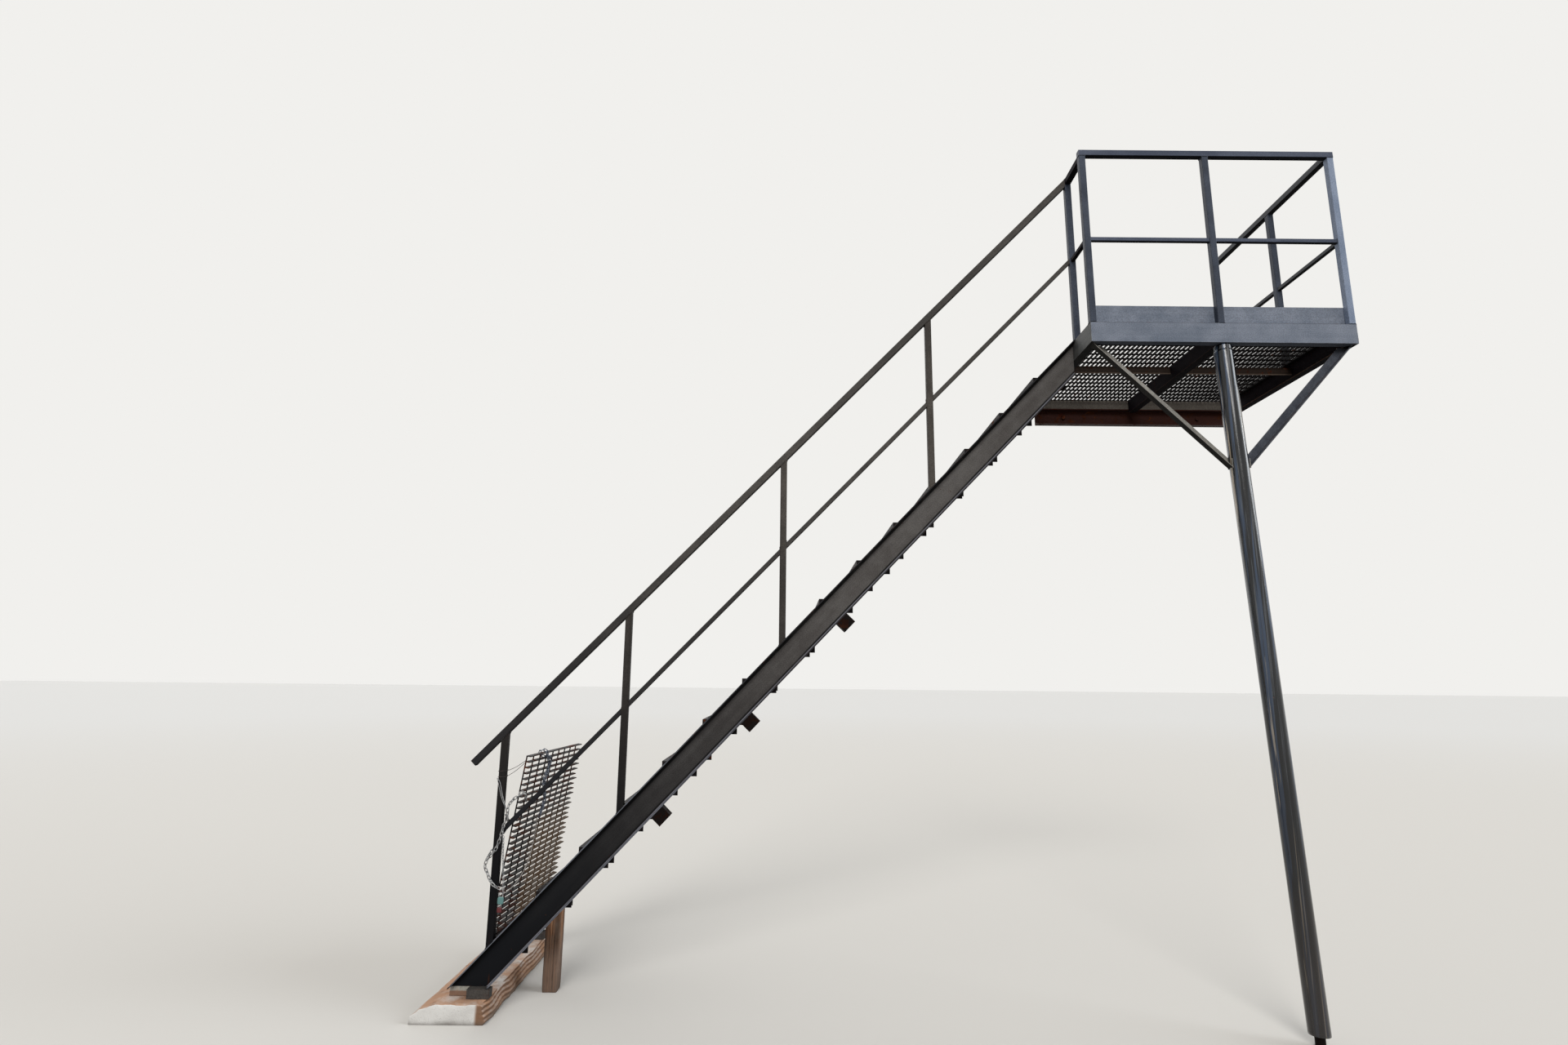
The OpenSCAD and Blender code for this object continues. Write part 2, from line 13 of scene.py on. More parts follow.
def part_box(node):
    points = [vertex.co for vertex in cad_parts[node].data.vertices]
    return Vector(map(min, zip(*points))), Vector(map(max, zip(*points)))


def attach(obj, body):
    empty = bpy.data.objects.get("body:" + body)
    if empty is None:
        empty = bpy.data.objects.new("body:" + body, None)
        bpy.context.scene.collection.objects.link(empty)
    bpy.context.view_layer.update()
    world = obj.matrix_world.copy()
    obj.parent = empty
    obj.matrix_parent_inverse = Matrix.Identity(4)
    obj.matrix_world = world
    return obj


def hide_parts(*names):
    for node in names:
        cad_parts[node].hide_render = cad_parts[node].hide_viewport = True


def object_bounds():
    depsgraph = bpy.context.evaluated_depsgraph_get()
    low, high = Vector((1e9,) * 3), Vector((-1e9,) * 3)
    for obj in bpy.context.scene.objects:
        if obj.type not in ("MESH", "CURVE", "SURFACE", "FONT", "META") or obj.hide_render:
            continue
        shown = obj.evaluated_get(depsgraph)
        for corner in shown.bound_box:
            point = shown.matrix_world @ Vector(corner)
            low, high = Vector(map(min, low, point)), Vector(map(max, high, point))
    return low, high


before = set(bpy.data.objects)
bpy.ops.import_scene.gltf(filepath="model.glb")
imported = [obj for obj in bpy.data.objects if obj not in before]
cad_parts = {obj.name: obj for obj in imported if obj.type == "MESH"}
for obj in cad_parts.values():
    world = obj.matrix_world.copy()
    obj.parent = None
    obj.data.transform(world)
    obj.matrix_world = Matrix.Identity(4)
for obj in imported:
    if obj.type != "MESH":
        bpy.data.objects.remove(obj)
cad_low, cad_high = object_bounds()

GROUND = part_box("concrete_footing")[0][2]
PACKER_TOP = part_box("foot_packers")[1][2]
# One step of the flight, up and along
RISE, RUN = 0.228, 0.218
SLOPE = math.atan2(RISE, RUN)
TURN = 2.0 * math.pi


def srgb(red, green, blue):
    """A colour written as 0 to 255 on screen, as the linear values that shaders take."""
    steps = np.array([red, green, blue]) / 255.0
    linear = np.where(steps <= 0.04045, steps / 12.92, ((steps + 0.055) / 1.055) ** 2.4)
    return tuple(float(value) for value in linear) + (1.0,)


def add_object(name, data):
    """A new object of the scene that holds this data."""
    made = bpy.data.objects.new(name, data)
    bpy.context.scene.collection.objects.link(made)
    return made


# Camera and lamps


def make_camera():
    """The viewing angle of the photograph: pitched up, with a little yaw and roll."""
    focal_px, width_px = 969.3, 1920.0
    pitch, yaw, roll = (math.radians(angle) for angle in (11.21, -0.13, 0.59))
    ahead = Vector((math.sin(yaw) * math.cos(pitch), math.cos(yaw) * math.cos(pitch),
                    math.sin(pitch)))
    level = Vector((math.cos(yaw), -math.sin(yaw), 0.0))
    above = level.cross(ahead)
    right = math.cos(roll) * level + math.sin(roll) * above
    up = math.cos(roll) * above - math.sin(roll) * level
    data = bpy.data.cameras.new("camera")
    data.sensor_fit = "HORIZONTAL"
    data.sensor_width = 36.0
    data.lens = 36.0 * focal_px / width_px
    data.clip_end = 400.0
    camera = add_object("camera", data)
    place = Matrix((right, up, -ahead)).transposed().to_4x4()
    place.translation = Vector((-2.5275, -5.58, -1.909))
    camera.matrix_world = place
    bpy.context.scene.camera = camera


def make_lamp(name, towards, spread, power, colour):
    """A soft distant lamp that shines from the direction towards, spread over an angle."""
    data = bpy.data.lights.new(name, "SUN")
    data.angle = math.radians(spread)
    data.energy = power
    data.color = colour
    lamp = add_object(name, data)
    lamp.rotation_mode = "QUATERNION"
    lamp.rotation_quaternion = Vector(towards).to_track_quat("Z", "Y")


# Shader wires


def arithmetic(operation):
    """The operator that adds this Math node to a wire, and the operator's reflected form."""
    return (lambda wire, other: wire.maths(operation, wire, other),
            lambda wire, other: wire.maths(operation, other, wire))


class Wire:
    """A socket of a material. Arithmetic on it adds the Math nodes that work it out."""

    __add__, __radd__ = arithmetic("ADD")
    __sub__, __rsub__ = arithmetic("SUBTRACT")
    __mul__, __rmul__ = arithmetic("MULTIPLY")

    def __init__(self, tree, socket=None):
        self.tree = tree
        self.socket = socket

    def node(self, kind, settings=None, sockets=None, out=0):
        """Adds a node of this kind: its settings first, then its sockets from values or wires."""
        made = self.tree.nodes.new("ShaderNode" + kind)
        for name, value in (settings or {}).items():
            setattr(made, name, value)
        for name, value in (sockets or {}).items():
            if isinstance(value, Wire):
                self.tree.links.new(value.socket, made.inputs[name])
            else:
                made.inputs[name].default_value = value
        return Wire(self.tree, made.outputs[out])

    def maths(self, operation, *values):
        return self.node("Math", {"operation": operation}, dict(enumerate(values)))

    def ramp(self, low, high, to_low=0.0, to_high=1.0):
        """Goes smoothly from to_low at low to to_high at high, and stays level outside them."""
        return self.node("MapRange", {"interpolation_type": "SMOOTHSTEP", "clamp": True},
                         {0: self, 1: low, 2: high, 3: to_low, 4: to_high})

    def mix(self, first, second):
        """Colour first where this wire is 0 and colour second where it is 1. A colour is a wire,
        or red, green and blue written as 0 to 255 on screen."""
        first, second = (colour if isinstance(colour, Wire) else srgb(*colour)
                         for colour in (first, second))
        return self.node("Mix", {"data_type": "RGBA"}, {0: self, 6: first, 7: second}, out=2)

    def part(self, axis):
        """One coordinate of a vector wire."""
        return self.node("SeparateXYZ", None, {0: self}, out="XYZ".index(axis))

    def placed(self, scale, turn=0.0):
        """Coordinates turned about Y by an angle and then stretched."""
        turned = self.node("Mapping", {"vector_type": "POINT"},
                           {"Vector": self, "Rotation": (0.0, turn, 0.0)})
        return turned.node("Mapping", {"vector_type": "POINT"}, {"Vector": turned, "Scale": scale})

    def noise(self, scale, detail=2.0, rough=0.5, warp=0.0):
        """Cloudy values from 0 to 1 on these coordinates, scale lumps to the metre, with detail
        finer layers, each as strong as rough says, and bent by warp."""
        return self.node("TexNoise", None, {"Vector": self, "Scale": scale, "Detail": detail,
                                            "Roughness": rough, "Distortion": warp})

    def cells(self, scale):
        """Distance to scattered points on these coordinates, scale points to the metre."""
        return self.node("TexVoronoi", {"feature": "F1"}, {"Vector": self, "Scale": scale})


def layered(colour, *layers):
    """A colour with others laid over it in turn. Each layer is a mask and the colour that lies
    where the mask is 1."""
    for mask, over in layers:
        colour = mask.mix(colour, over)
    return colour


def start_material(name):
    """An empty material, with its object coordinates and its shader."""
    material = bpy.data.materials.new(name)
    material.use_nodes = True
    tree = material.node_tree
    tree.nodes.clear()
    where = Wire(tree).node("TexCoord", None, None, out=3)
    shader = tree.nodes.new("ShaderNodeBsdfPrincipled")
    output = tree.nodes.new("ShaderNodeOutputMaterial")
    tree.links.new(shader.outputs[0], output.inputs["Surface"])
    return material, where, shader


def finish_material(material, shader, colour, roughness, height=None, depth=0.001, strength=1.0,
                    metallic=0.0, coat=0.0, rounded=0.0, sheen=0.5):
    """Feeds a shader: height is in parts of depth, which is in metres, rounded is the radius
    that sharp edges catch the light with, and sheen is the strength of plain reflections."""
    tree = material.node_tree
    for name, value in (("Base Color", colour), ("Roughness", roughness),
                        ("Metallic", metallic), ("Coat Weight", coat)):
        if isinstance(value, Wire):
            tree.links.new(value.socket, shader.inputs[name])
        else:
            shader.inputs[name].default_value = value
    shader.inputs["Coat Roughness"].default_value = 0.1
    shader.inputs["Specular IOR Level"].default_value = sheen
    if height is not None:
        sockets = {"Strength": strength, "Distance": depth, "Height": height}
        if rounded:
            sockets["Normal"] = height.node("Bevel", {"samples": 4}, {"Radius": rounded})
        bump = height.node("Bump", None, sockets)
        tree.links.new(bump.socket, shader.inputs["Normal"])
    return material


def edge_mask(where, radius=0.004):
    """Near 1 along sharp edges, where paint wears first, from how far a rounded normal turns."""
    rounded = where.node("Bevel", {"samples": 4}, {"Radius": radius})
    flat = where.node("NewGeometry", None, None, out=1)
    along = rounded.node("VectorMath", {"operation": "DOT_PRODUCT"}, {0: rounded, 1: flat}, out=1)
    return (1.0 - along).ramp(0.02, 0.22)


def facing_up(where):
    """1 on faces that look straight up, 0 on upright ones and those that look down."""
    return where.node("NewGeometry", None, None, out=1).part("Z").ramp(0.3, 0.95)


def facing_down(where):
    """1 on faces that look straight down, 0 on upright ones and those that look up."""
    return where.node("NewGeometry", None, None, out=1).part("Z").ramp(-0.3, -0.9)


RUST_DARK, RUST_MID, RUST_LIGHT = (58, 30, 20), (104, 56, 30), (146, 88, 48)
RUST_RED, RUST_CRUMB = (82, 34, 24), (30, 18, 14)
# Near black: real soot in the paint's speckle, and painted shade on undersides
DUST, SOOT_AND_SHADE, BARE_STEEL_AND_HIGHLIGHT = (150, 142, 130), (16, 15, 16), (176, 178, 182)


def rust_colour(where, tint=0.0):
    """Rust: dark scale, brown patches, red ones that tint makes stronger, orange bloom and dark
    crumbs."""
    return layered(RUST_DARK, (where.noise(9.0, 6.0, 0.62).ramp(0.35, 0.68), RUST_MID),
                   (where.noise(5.0, 3.0, 0.5).ramp(0.45, 0.7, 0.0, 0.6 + tint), RUST_RED),
                   (where.noise(24.0, 5.0, 0.6, 0.6).ramp(0.56, 0.76, 0.0, 0.7), RUST_LIGHT),
                   (where.noise(70.0, 4.0, 0.7).ramp(0.3, 0.72, 0.35, 0.0), RUST_CRUMB))


BRUSH = {"X": (5.0, 130.0, 130.0), "Y": (130.0, 5.0, 130.0), "Z": (130.0, 130.0, 4.0)}
BROADER = 0.22


def painted_steel(name, paint, faded, along="X", turn=0.0, gloss=0.42, dust=0.35, chips=0.3,
                  rust=0.2, low=None, ragged=0.5, worn_and_lit_edge=0.4, marks=(), under=0.8, sheen=0.12):
    """Brushed-on paint over old steel: brush marks along the member, faded patches, dust on
    top, painted shade underneath, chips that show rust at the edges and thin runs of rust below
    them. turn is the member's slope about Y. low is a colour that it turns to towards the bottom,
    the height up to which it covers all and the height where it ends, and ragged is how far its
    border wanders. worn_and_lit_edge is how far edges turn pale, partly worn to bare steel and
    partly a painted highlight, and under how far undersides are darkened as painted shade. Each of
    marks is a function of the coordinates and the colour that lies where it is 1."""
    material, where, shader = start_material(name)
    broad = where.noise(1.7, 4.0, 0.55)
    patches = where.noise(11.0, 6.0, 0.62)
    speckle = where.noise(170.0, 4.0, 0.7)
    brushed = where.placed(BRUSH[along], turn).noise(1.0, 3.0, 0.6)
    broader = tuple(value * BROADER for value in BRUSH[along])
    strokes = where.placed(broader, turn).noise(1.0, 4.0, 0.6)
    runs = where.placed((60.0, 60.0, 2.2)).noise(1.0, 4.0, 0.6)
    edge, down = edge_mask(where), facing_down(where)

    fading = (broad * 0.5 + patches * 0.45 + strokes * 0.3).ramp(0.46, 0.80)
    colour = layered(paint, (fading, faded), (brushed.ramp(0.42, 0.75) * 0.12, faded))
    # Darker towards the bottom, below a ragged border
    if low:
        low_colour, low_z, high_z = low
        height = where.part("Z") + (broad - 0.5) * ragged + (strokes - 0.5) * (0.6 * ragged)
        colour = height.ramp(low_z, high_z).mix(low_colour, colour)
    dusty = facing_up(where) * patches.ramp(0.3, 0.65) * dust + runs.ramp(0.6, 0.85) * dust * 0.12
    # Dark speckle of soot, dust on top, and undersides darkened as painted shade
    colour = layered(colour, (speckle.ramp(0.35, 0.7) * 0.42, SOOT_AND_SHADE),
                     (dusty.ramp(0.0, 1.0), DUST), (down * under, SOOT_AND_SHADE))
    # Edges turn pale, partly worn to bare steel and partly a painted highlight; the nicks are wear
    if worn_and_lit_edge:
        lit_scuffs = edge * where.noise(22.0, 4.0, 0.6).ramp(0.35, 0.6) * worn_and_lit_edge
        nicks = where.noise(210.0, 3.0, 0.75).ramp(0.70, 0.76) * patches.ramp(0.45, 0.6) * worn_and_lit_edge
        colour = (lit_scuffs + nicks).ramp(0.0, 1.0).mix(colour, BARE_STEEL_AND_HIGHLIGHT)
    for mask, mark_paint in marks:
        patchy = where.noise(8.0, 4.0, 0.6).ramp(0.3, 0.55, 0.6, 0.95)
        colour = (mask(where) * patchy).mix(colour, mark_paint)
    chip = (where.noise(46.0, 5.0, 0.68) + edge * 0.17 + broad * 0.1).ramp(
        0.80 - 0.16 * chips, 0.84 - 0.16 * chips)
    stain = (where.noise(7.0, 5.0, 0.6) * 0.6 + runs * 0.5).ramp(0.70 - 0.2 * rust, 0.9)
    colour = layered(colour, (stain * (0.25 + 0.7 * rust), RUST_MID), (chip, rust_colour(where)))
    roughness = (gloss + broad * 0.14 + speckle * 0.1 + dusty * 0.3 + chip * 0.35
                 + stain * 0.15 + down * 0.45).ramp(0.0, 1.0)
    height = (brushed * 0.5 + strokes * 0.4 + patches * 0.6 + speckle * 0.5 - chip * 0.9
              + where.noise(320.0, 2.0) * 0.3)
    return finish_material(material, shader, colour, roughness, height, 0.0007, 0.6,
                           rounded=0.0016, sheen=sheen)


def rusted_steel(name, paint, old_paint, dark=0.4, tint=0.0, shade=None, under=0.55, sheen=0.1):
    """Bare rusted steel with flakes of the paint it once had: old_paint is how much of it is
    left, dark how dark the grain is, and under how far undersides are darkened as painted shade.
    shade is a function of the coordinates, a share and the colour that lies by this share where
    it is 1: painted light on the bearers' lip and the barrier's far corner, and darker towards
    the ground on the blocks."""
    material, where, shader = start_material(name)
    flakes = where.noise(16.0, 6.0, 0.66)
    grain = where.noise(240.0, 4.0, 0.7)
    left = (flakes + where.noise(3.0, 3.0) * 0.25).ramp(0.74 - 0.3 * old_paint,
                                                        0.78 - 0.3 * old_paint)
    colour = left.mix(rust_colour(where, tint), paint)
    if shade:
        mask, share, shade_paint = shade
        colour = (mask(where) * share).mix(colour, shade_paint)
    # Dark grain, and undersides darkened as painted shade
    colour = layered(colour, (grain.ramp(0.35, 0.75) * dark, (24, 15, 13)),
                     (facing_down(where) * under, SOOT_AND_SHADE))
    roughness = 0.88 - left * 0.28 - grain * 0.1
    pits = where.cells(150.0).ramp(0.0, 0.35)
    height = left * 0.6 + grain * 0.9 + flakes * 0.7 + pits * 0.5
    return finish_material(material, shader, colour, roughness, height, 0.0012, 0.7,
                           rounded=0.0012, sheen=sheen)


def gloss_column_paint():
    """Black gloss paint brushed down a tube: painted reflections as blue-grey, pale and cream
    streaks with dark ones between, stronger higher up, long drips, dust and rust low down."""
    material, where, shader = start_material("column_gloss_paint")
    broad = where.noise(2.0, 4.0, 0.55)
    bands = where.placed((34.0, 34.0, 0.5)).noise(1.0, 3.0, 0.5)
    streaks = where.placed((95.0, 95.0, 1.1)).noise(1.0, 5.0, 0.62)
    warm_highlights = where.placed((52.0, 52.0, 0.35)).noise(1.0, 3.0, 0.5)
    drips = where.placed((150.0, 150.0, 5.0)).noise(1.0, 3.0, 0.5)
    patches = where.noise(9.0, 6.0, 0.62)
    height = where.part("Z") + (broad - 0.5) * 1.2
    # worn is how strong the painted reflections are: weaker low down, full higher up
    worn = height.ramp(-3.3, -0.6, 0.3, 1.0)
    chip = (where.noise(40.0, 5.0, 0.68) + broad * 0.1).ramp(0.75, 0.79)
    # The blue-grey bands and the pale, cream and dark streaks are painted reflections; the brown
    # low down and the chips are dust and rust.
    colour = layered((6, 9, 14), (bands.ramp(0.50, 0.58) * worn, (54, 70, 93)),
                     (streaks.ramp(0.55, 0.66) * worn * 0.5, (112, 116, 122)),
                     (warm_highlights.ramp(0.60, 0.66) * worn * 0.8, (190, 176, 156)),
                     (streaks.ramp(0.42, 0.34) * 0.8, (8, 8, 10)),
                     (height.ramp(-3.6, -2.4, 0.45, 0.0), (46, 38, 34)),
                     (chip, rust_colour(where)))
    roughness = 0.13 + streaks.ramp(0.4, 0.8) * 0.16 + patches.ramp(0.4, 0.8) * 0.1 + chip * 0.4
    relief = streaks * 0.9 + drips * 0.45 + patches * 0.4 - chip * 0.6
    return finish_material(material, shader, colour, roughness, relief, 0.0011, 0.8,
                           coat=(1.0 - chip) * 0.3, sheen=0.4)


def cast_concrete():
    """Old cast concrete: pale cement, fine aggregate, orange rust below the feet, layers of
    stain down the side towards the stair and dirt at the base."""
    material, where, shader = start_material("stained_concrete")
    broad = where.noise(4.0, 5.0, 0.6)
    stones = where.cells(90.0)
    height = where.part("Z")
    up = facing_up(where)
    side = (where.part("X") + (broad - 0.5) * 0.01).ramp(-4.10, -4.08) * (1.0 - up)
    layers = ((height + (broad - 0.5) * 0.012) * (TURN / 0.021)).maths("SINE")
    stain = (where.noise(6.0, 5.0, 0.65) * 0.7 + up * 0.42 + side * 0.42).ramp(0.58, 0.84)
    deep = (where.noise(13.0, 5.0, 0.7) * 0.8 + up * 0.24).ramp(0.66, 0.86)
    dirt = (height + (broad - 0.5) * 0.07).ramp(GROUND - 0.01, GROUND + 0.035, 0.75, 0.0)
    colour = layered((186, 183, 179), (broad.ramp(0.3, 0.7), (214, 212, 208)),
                     (stones.ramp(0.0, 0.3, 0.3, 0.0), (128, 120, 112)),
                     (stain * 0.85, (170, 120, 80)), (side * 0.8, (178, 134, 96)),
                     (side * layers.ramp(-0.1, 0.7) * 0.85, (72, 46, 33)),
                     (deep * 0.72, (98, 66, 46)), (dirt, (96, 88, 80)))
    relief = (broad * 1.2 + where.noise(120.0, 4.0, 0.7) * 0.5 - stones.ramp(0.0, 0.25, 0.5, 0.0)
              + side * layers * 0.4)
    return finish_material(material, shader, colour, 0.92, relief, 0.003, 0.8)


def mortar():
    """Light grey mortar at the top of the packers, stained brown below."""
    material, where, shader = start_material("mortar")
    broad = where.noise(18.0, 4.0, 0.6)
    grit = where.noise(260.0, 3.0, 0.7)
    below = PACKER_TOP - where.part("Z") + (broad - 0.5) * 0.012
    colour = layered((118, 116, 108), (broad.ramp(0.3, 0.7), (160, 158, 150)),
                     (broad.ramp(0.55, 0.75) * 0.6, (132, 98, 70)),
                     (grit.ramp(0.5, 0.8) * 0.4, (90, 84, 78)),
                     (below.ramp(0.018, 0.026, 0.0, 0.85), (112, 78, 56)))
    return finish_material(material, shader, colour, 0.92, broad + grit * 0.5, 0.002, 0.8,
                           rounded=0.003)


def weathered_timber():
    """Softwood left outside: grain streaks up the length, orange heartwood between grey ones,
    dark checks, knots, a damp foot and a dark upper end."""
    material, where, shader = start_material("weathered_timber")
    grain = where.placed((110.0, 110.0, 1.8)).noise(1.0, 6.0, 0.7, 0.4)
    bands = where.placed((34.0, 34.0, 0.7)).noise(1.0, 3.0, 0.6, 0.3)
    crack = where.placed((52.0, 52.0, 1.3)).noise(1.0, 5.0, 0.75, 0.5).ramp(0.58, 0.63)
    blotch = where.noise(9.0, 4.0, 0.6)
    knots = where.placed((14.0, 14.0, 5.5)).cells(1.0)
    height = where.part("Z") + (blotch - 0.5) * 0.2
    colour = layered((84, 60, 45), (bands.ramp(0.30, 0.70), (182, 130, 92)),
                     (grain.ramp(0.42, 0.62) * 0.6, (62, 45, 36)),
                     (blotch.ramp(0.45, 0.7) * 0.4, (140, 128, 116)),
                     (knots.ramp(0.24, 0.10), (44, 28, 20)), (crack, (24, 17, 14)),
                     (height.ramp(GROUND + 0.16, GROUND + 0.38, 0.6, 0.0), (128, 112, 101)),
                     (height.ramp(GROUND, GROUND + 0.16, 0.4, 0.0), (62, 50, 43)),
                     (height.ramp(GROUND + 0.42, GROUND + 0.6, 0.0, 0.7), (34, 25, 21)))
    relief = grain * 0.9 - crack * 1.8 + bands * 0.5
    return finish_material(material, shader, colour, 0.85, relief, 0.003, 0.9, sheen=0.25)


def zinc_chain(name, low, high, rust=0.3):
    """Dulled zinc on links or wire, with rust where it has worn through."""
    material, where, shader = start_material(name)
    clouds = where.noise(60.0, 4.0, 0.6)
    spots = where.noise(120.0, 4.0, 0.7).ramp(0.62 - 0.12 * rust, 0.7 - 0.08 * rust)
    colour = layered(low, (clouds.ramp(0.3, 0.7), high), (spots, RUST_MID))
    return finish_material(material, shader, colour, 0.4 + spots * 0.4, clouds, 0.0004, 0.6,
                           metallic=(1.0 - spots) * 0.35)


def lock_paint(name, paint, worn):
    """Enamel on a small padlock, rubbed to dull metal on its edges."""
    material, where, shader = start_material(name)
    rubbed = (edge_mask(where, 0.002) * 0.6 + where.noise(160.0, 4.0, 0.7) * 0.6).ramp(0.42, 0.62)
    return finish_material(material, shader, rubbed.mix(paint, worn), 0.35 + rubbed * 0.3,
                           where.noise(300.0, 2.0), 0.0003, 0.5)


def tie_fibre():
    """Grey weathered twisted line with a stray lighter strand."""
    material, where, shader = start_material("tie_line_fibre")
    strand = where.noise(420.0, 3.0, 0.6)
    colour = strand.ramp(0.35, 0.65).mix((120, 112, 108), (206, 200, 194))
    return finish_material(material, shader, colour, 0.9, strand, 0.0006, 0.8)


# Finishes of the CAD nodes


def flange_tips(where):
    """1 on the narrow outer edges of the outer stringer's flanges, above its cut foot."""
    _, edge_y, foot_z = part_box("outer_stringer")[0]
    return (where.part("Y").ramp(edge_y + 0.0045, edge_y + 0.0015)
            * where.part("Z").ramp(foot_z + 0.001, foot_z + 0.015))


def highlighted_tips(where):
    """1 on the outer edges of the outer stringer's flanges near its foot, drawn pale as a painted
    highlight.
    """
    return flange_tips(where) * where.part("Z").ramp(-1.8, -2.8)


def plate_seam(where):
    """1 on the thin dark joint between the toe plate and the outer channel."""
    up = where.part("Z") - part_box("toe_plate")[0][2]
    return up.ramp(-0.0022, -0.0012) * up.ramp(0.0022, 0.0012) * (1.0 - facing_up(where))


def below_top(where):
    """How far down the stringers' web a point is, square to the slope, from their top edge."""
    edge_x, _, edge_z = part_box("stair_post_1")[0]
    tilt, lift = math.sin(SLOPE), math.cos(SLOPE)
    return (edge_z * lift - edge_x * tilt) - (where.part("Z") * lift - where.part("X") * tilt)


def shaded_web_corners(where):
    """1 on the stringers' web just below the upper flange and just above the lower one,
    where painted shade lies.
    """
    down = below_top(where)
    return down.ramp(0.023, 0.019) + down.ramp(0.128, 0.132)


def highlight_line(where):
    """1 on a thin painted highlight line on the stringers' web, where it meets the lower flange.
    """
    down = below_top(where)
    return down.ramp(0.1385, 0.1395) * down.ramp(0.1455, 0.1445)


def low_flange_highlight(where):
    """1 on the edge of the dark channels' lower flanges, drawn brown as painted light."""
    edge_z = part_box("right_end_channel")[0][2]
    return where.part("Z").ramp(edge_z + 0.010, edge_z + 0.005) * (1.0 - facing_down(where))


def bearer_lip_highlight(where):
    """1 on the thin lower edge of the bearers, drawn lighter as a painted highlight."""
    edge_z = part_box("front_bearer")[0][2]
    return where.part("Z").ramp(edge_z + 0.009, edge_z + 0.006) * (1.0 - facing_down(where))


def low_blocks(where):
    """Goes from a half to 1 towards the ground."""
    return where.part("Z").ramp(-1.1, -2.2, 0.5, 1.0)


def sunlit_corner(where):
    """1 on the barrier's lower far half, drawn tan as painted sunlight on its bars."""
    ragged = (where.noise(14.0, 4.0, 0.6) - 0.5) * 0.16
    return (where.part("Y") + ragged).ramp(-0.74, -0.62) * (where.part("Z") + ragged).ramp(
        -2.62, -2.86)


FADED = painted_steel(
    "faded_grey_paint", (100, 109, 124), (128, 135, 149), chips=0.25, rust=0.18, gloss=0.38,
    worn_and_lit_edge=0.5, under=0.4, sheen=0.25, marks=((plate_seam, (46, 48, 54)),))
FADED_END = painted_steel("faded_end_paint", (70, 73, 75), (104, 104, 102), along="Y", dust=0.4,
                          chips=0.35, rust=0.25, gloss=0.4)
RAIL = {axis: painted_steel("rail_paint_" + axis.lower(), paint, faded, along=axis, rust=0.1,
                            gloss=0.34, under=0.9)
        for axis, paint, faded in (("X", (68, 75, 92), (90, 97, 114)),
                                   ("Y", (48, 50, 56), (70, 72, 78)),
                                   ("Z", (50, 56, 68), (73, 80, 94)))}
# The right corner post is a lighter copy of the post paint: painted sunlight
SUNNY_POST = painted_steel("sunny_post_paint", (120, 134, 158), (148, 160, 182), along="Z",
                           dust=0.3, chips=0.25, rust=0.1, gloss=0.36)
# On the stringers: painted shade near black in the web's corners and on the flange edges, a thin
# painted highlight above the lower flange, and pale painted highlights on the flange edges near
# the foot.
FLIGHT = painted_steel(
    "flight_paint", (80, 76, 74), (102, 99, 97), turn=SLOPE, rust=0.16, gloss=0.45,
    low=((12, 14, 18), -3.3, -1.2), worn_and_lit_edge=0.3, under=0.95, sheen=0.08,
    marks=((shaded_web_corners, (12, 12, 13)), (highlight_line, (116, 116, 124)),
           (flange_tips, (40, 40, 43)), (highlighted_tips, (104, 108, 116))))
FOOT = painted_steel("foot_paint", (52, 50, 49), (78, 75, 72), dust=0.12, chips=0.4, rust=0.25,
                     gloss=0.5, worn_and_lit_edge=0.0, sheen=0.06)
STAIR_RAIL = painted_steel(
    "stair_rail_paint", (54, 51, 48), (80, 76, 72), turn=SLOPE, rust=0.12, gloss=0.36,
    low=((24, 25, 29), -2.7, -0.8), worn_and_lit_edge=0.5, under=0.85)
STAIR_POST = painted_steel(
    "stair_post_paint", (60, 56, 52), (84, 79, 74), along="Z", rust=0.12, gloss=0.4,
    low=((7, 7, 10), -3.0, -0.8), ragged=0.3, worn_and_lit_edge=0.5, under=0.85, sheen=0.08)
COLUMN = gloss_column_paint()
# The left brace is painted far lighter than the right one: painted light on its lit faces
BRACE = painted_steel("brace_paint", (118, 116, 111), (158, 155, 149), turn=-SLOPE, rust=0.16,
                      under=1.1)
BLUE_BRACE = painted_steel("blue_brace_paint", (58, 62, 71), (86, 90, 99), turn=-SLOPE)
# The lower flange edges of the dark channels are drawn brown as painted light
DARK_FRAME = painted_steel(
    "dark_frame_paint", (18, 14, 20), (32, 24, 30), along="Y", dust=0.2, chips=0.5, rust=0.4,
    gloss=0.5, worn_and_lit_edge=0.0, sheen=0.06, marks=((low_flange_highlight, (96, 76, 64)),))
WALL_BEARER = painted_steel("wall_bearer_paint", (100, 94, 88), (122, 116, 108), dust=0.4,
                            chips=0.5, rust=0.3, gloss=0.6, worn_and_lit_edge=0.0, under=0.5)
# The bearers' lower lip is drawn lighter as a painted highlight
BEARER = rusted_steel("bearer_rust", (56, 45, 38), 0.75, dark=0.5, under=0.4,
                      shade=(bearer_lip_highlight, 0.75, (126, 110, 98)))
LEDGER = rusted_steel("ledger_rust", (66, 37, 31), 0.7, dark=0.2, tint=0.35)
GRATING = rusted_steel("grating_rust", (14, 12, 14), 0.9, dark=0.6, sheen=0.03)
TREAD = rusted_steel("tread_rust", (30, 27, 28), 0.85, sheen=0.06)
BLOCK = rusted_steel("block_rust", (14, 9, 8), 0.7, dark=0.75, sheen=0.05,
                     shade=(low_blocks, 0.9, (8, 6, 5)))
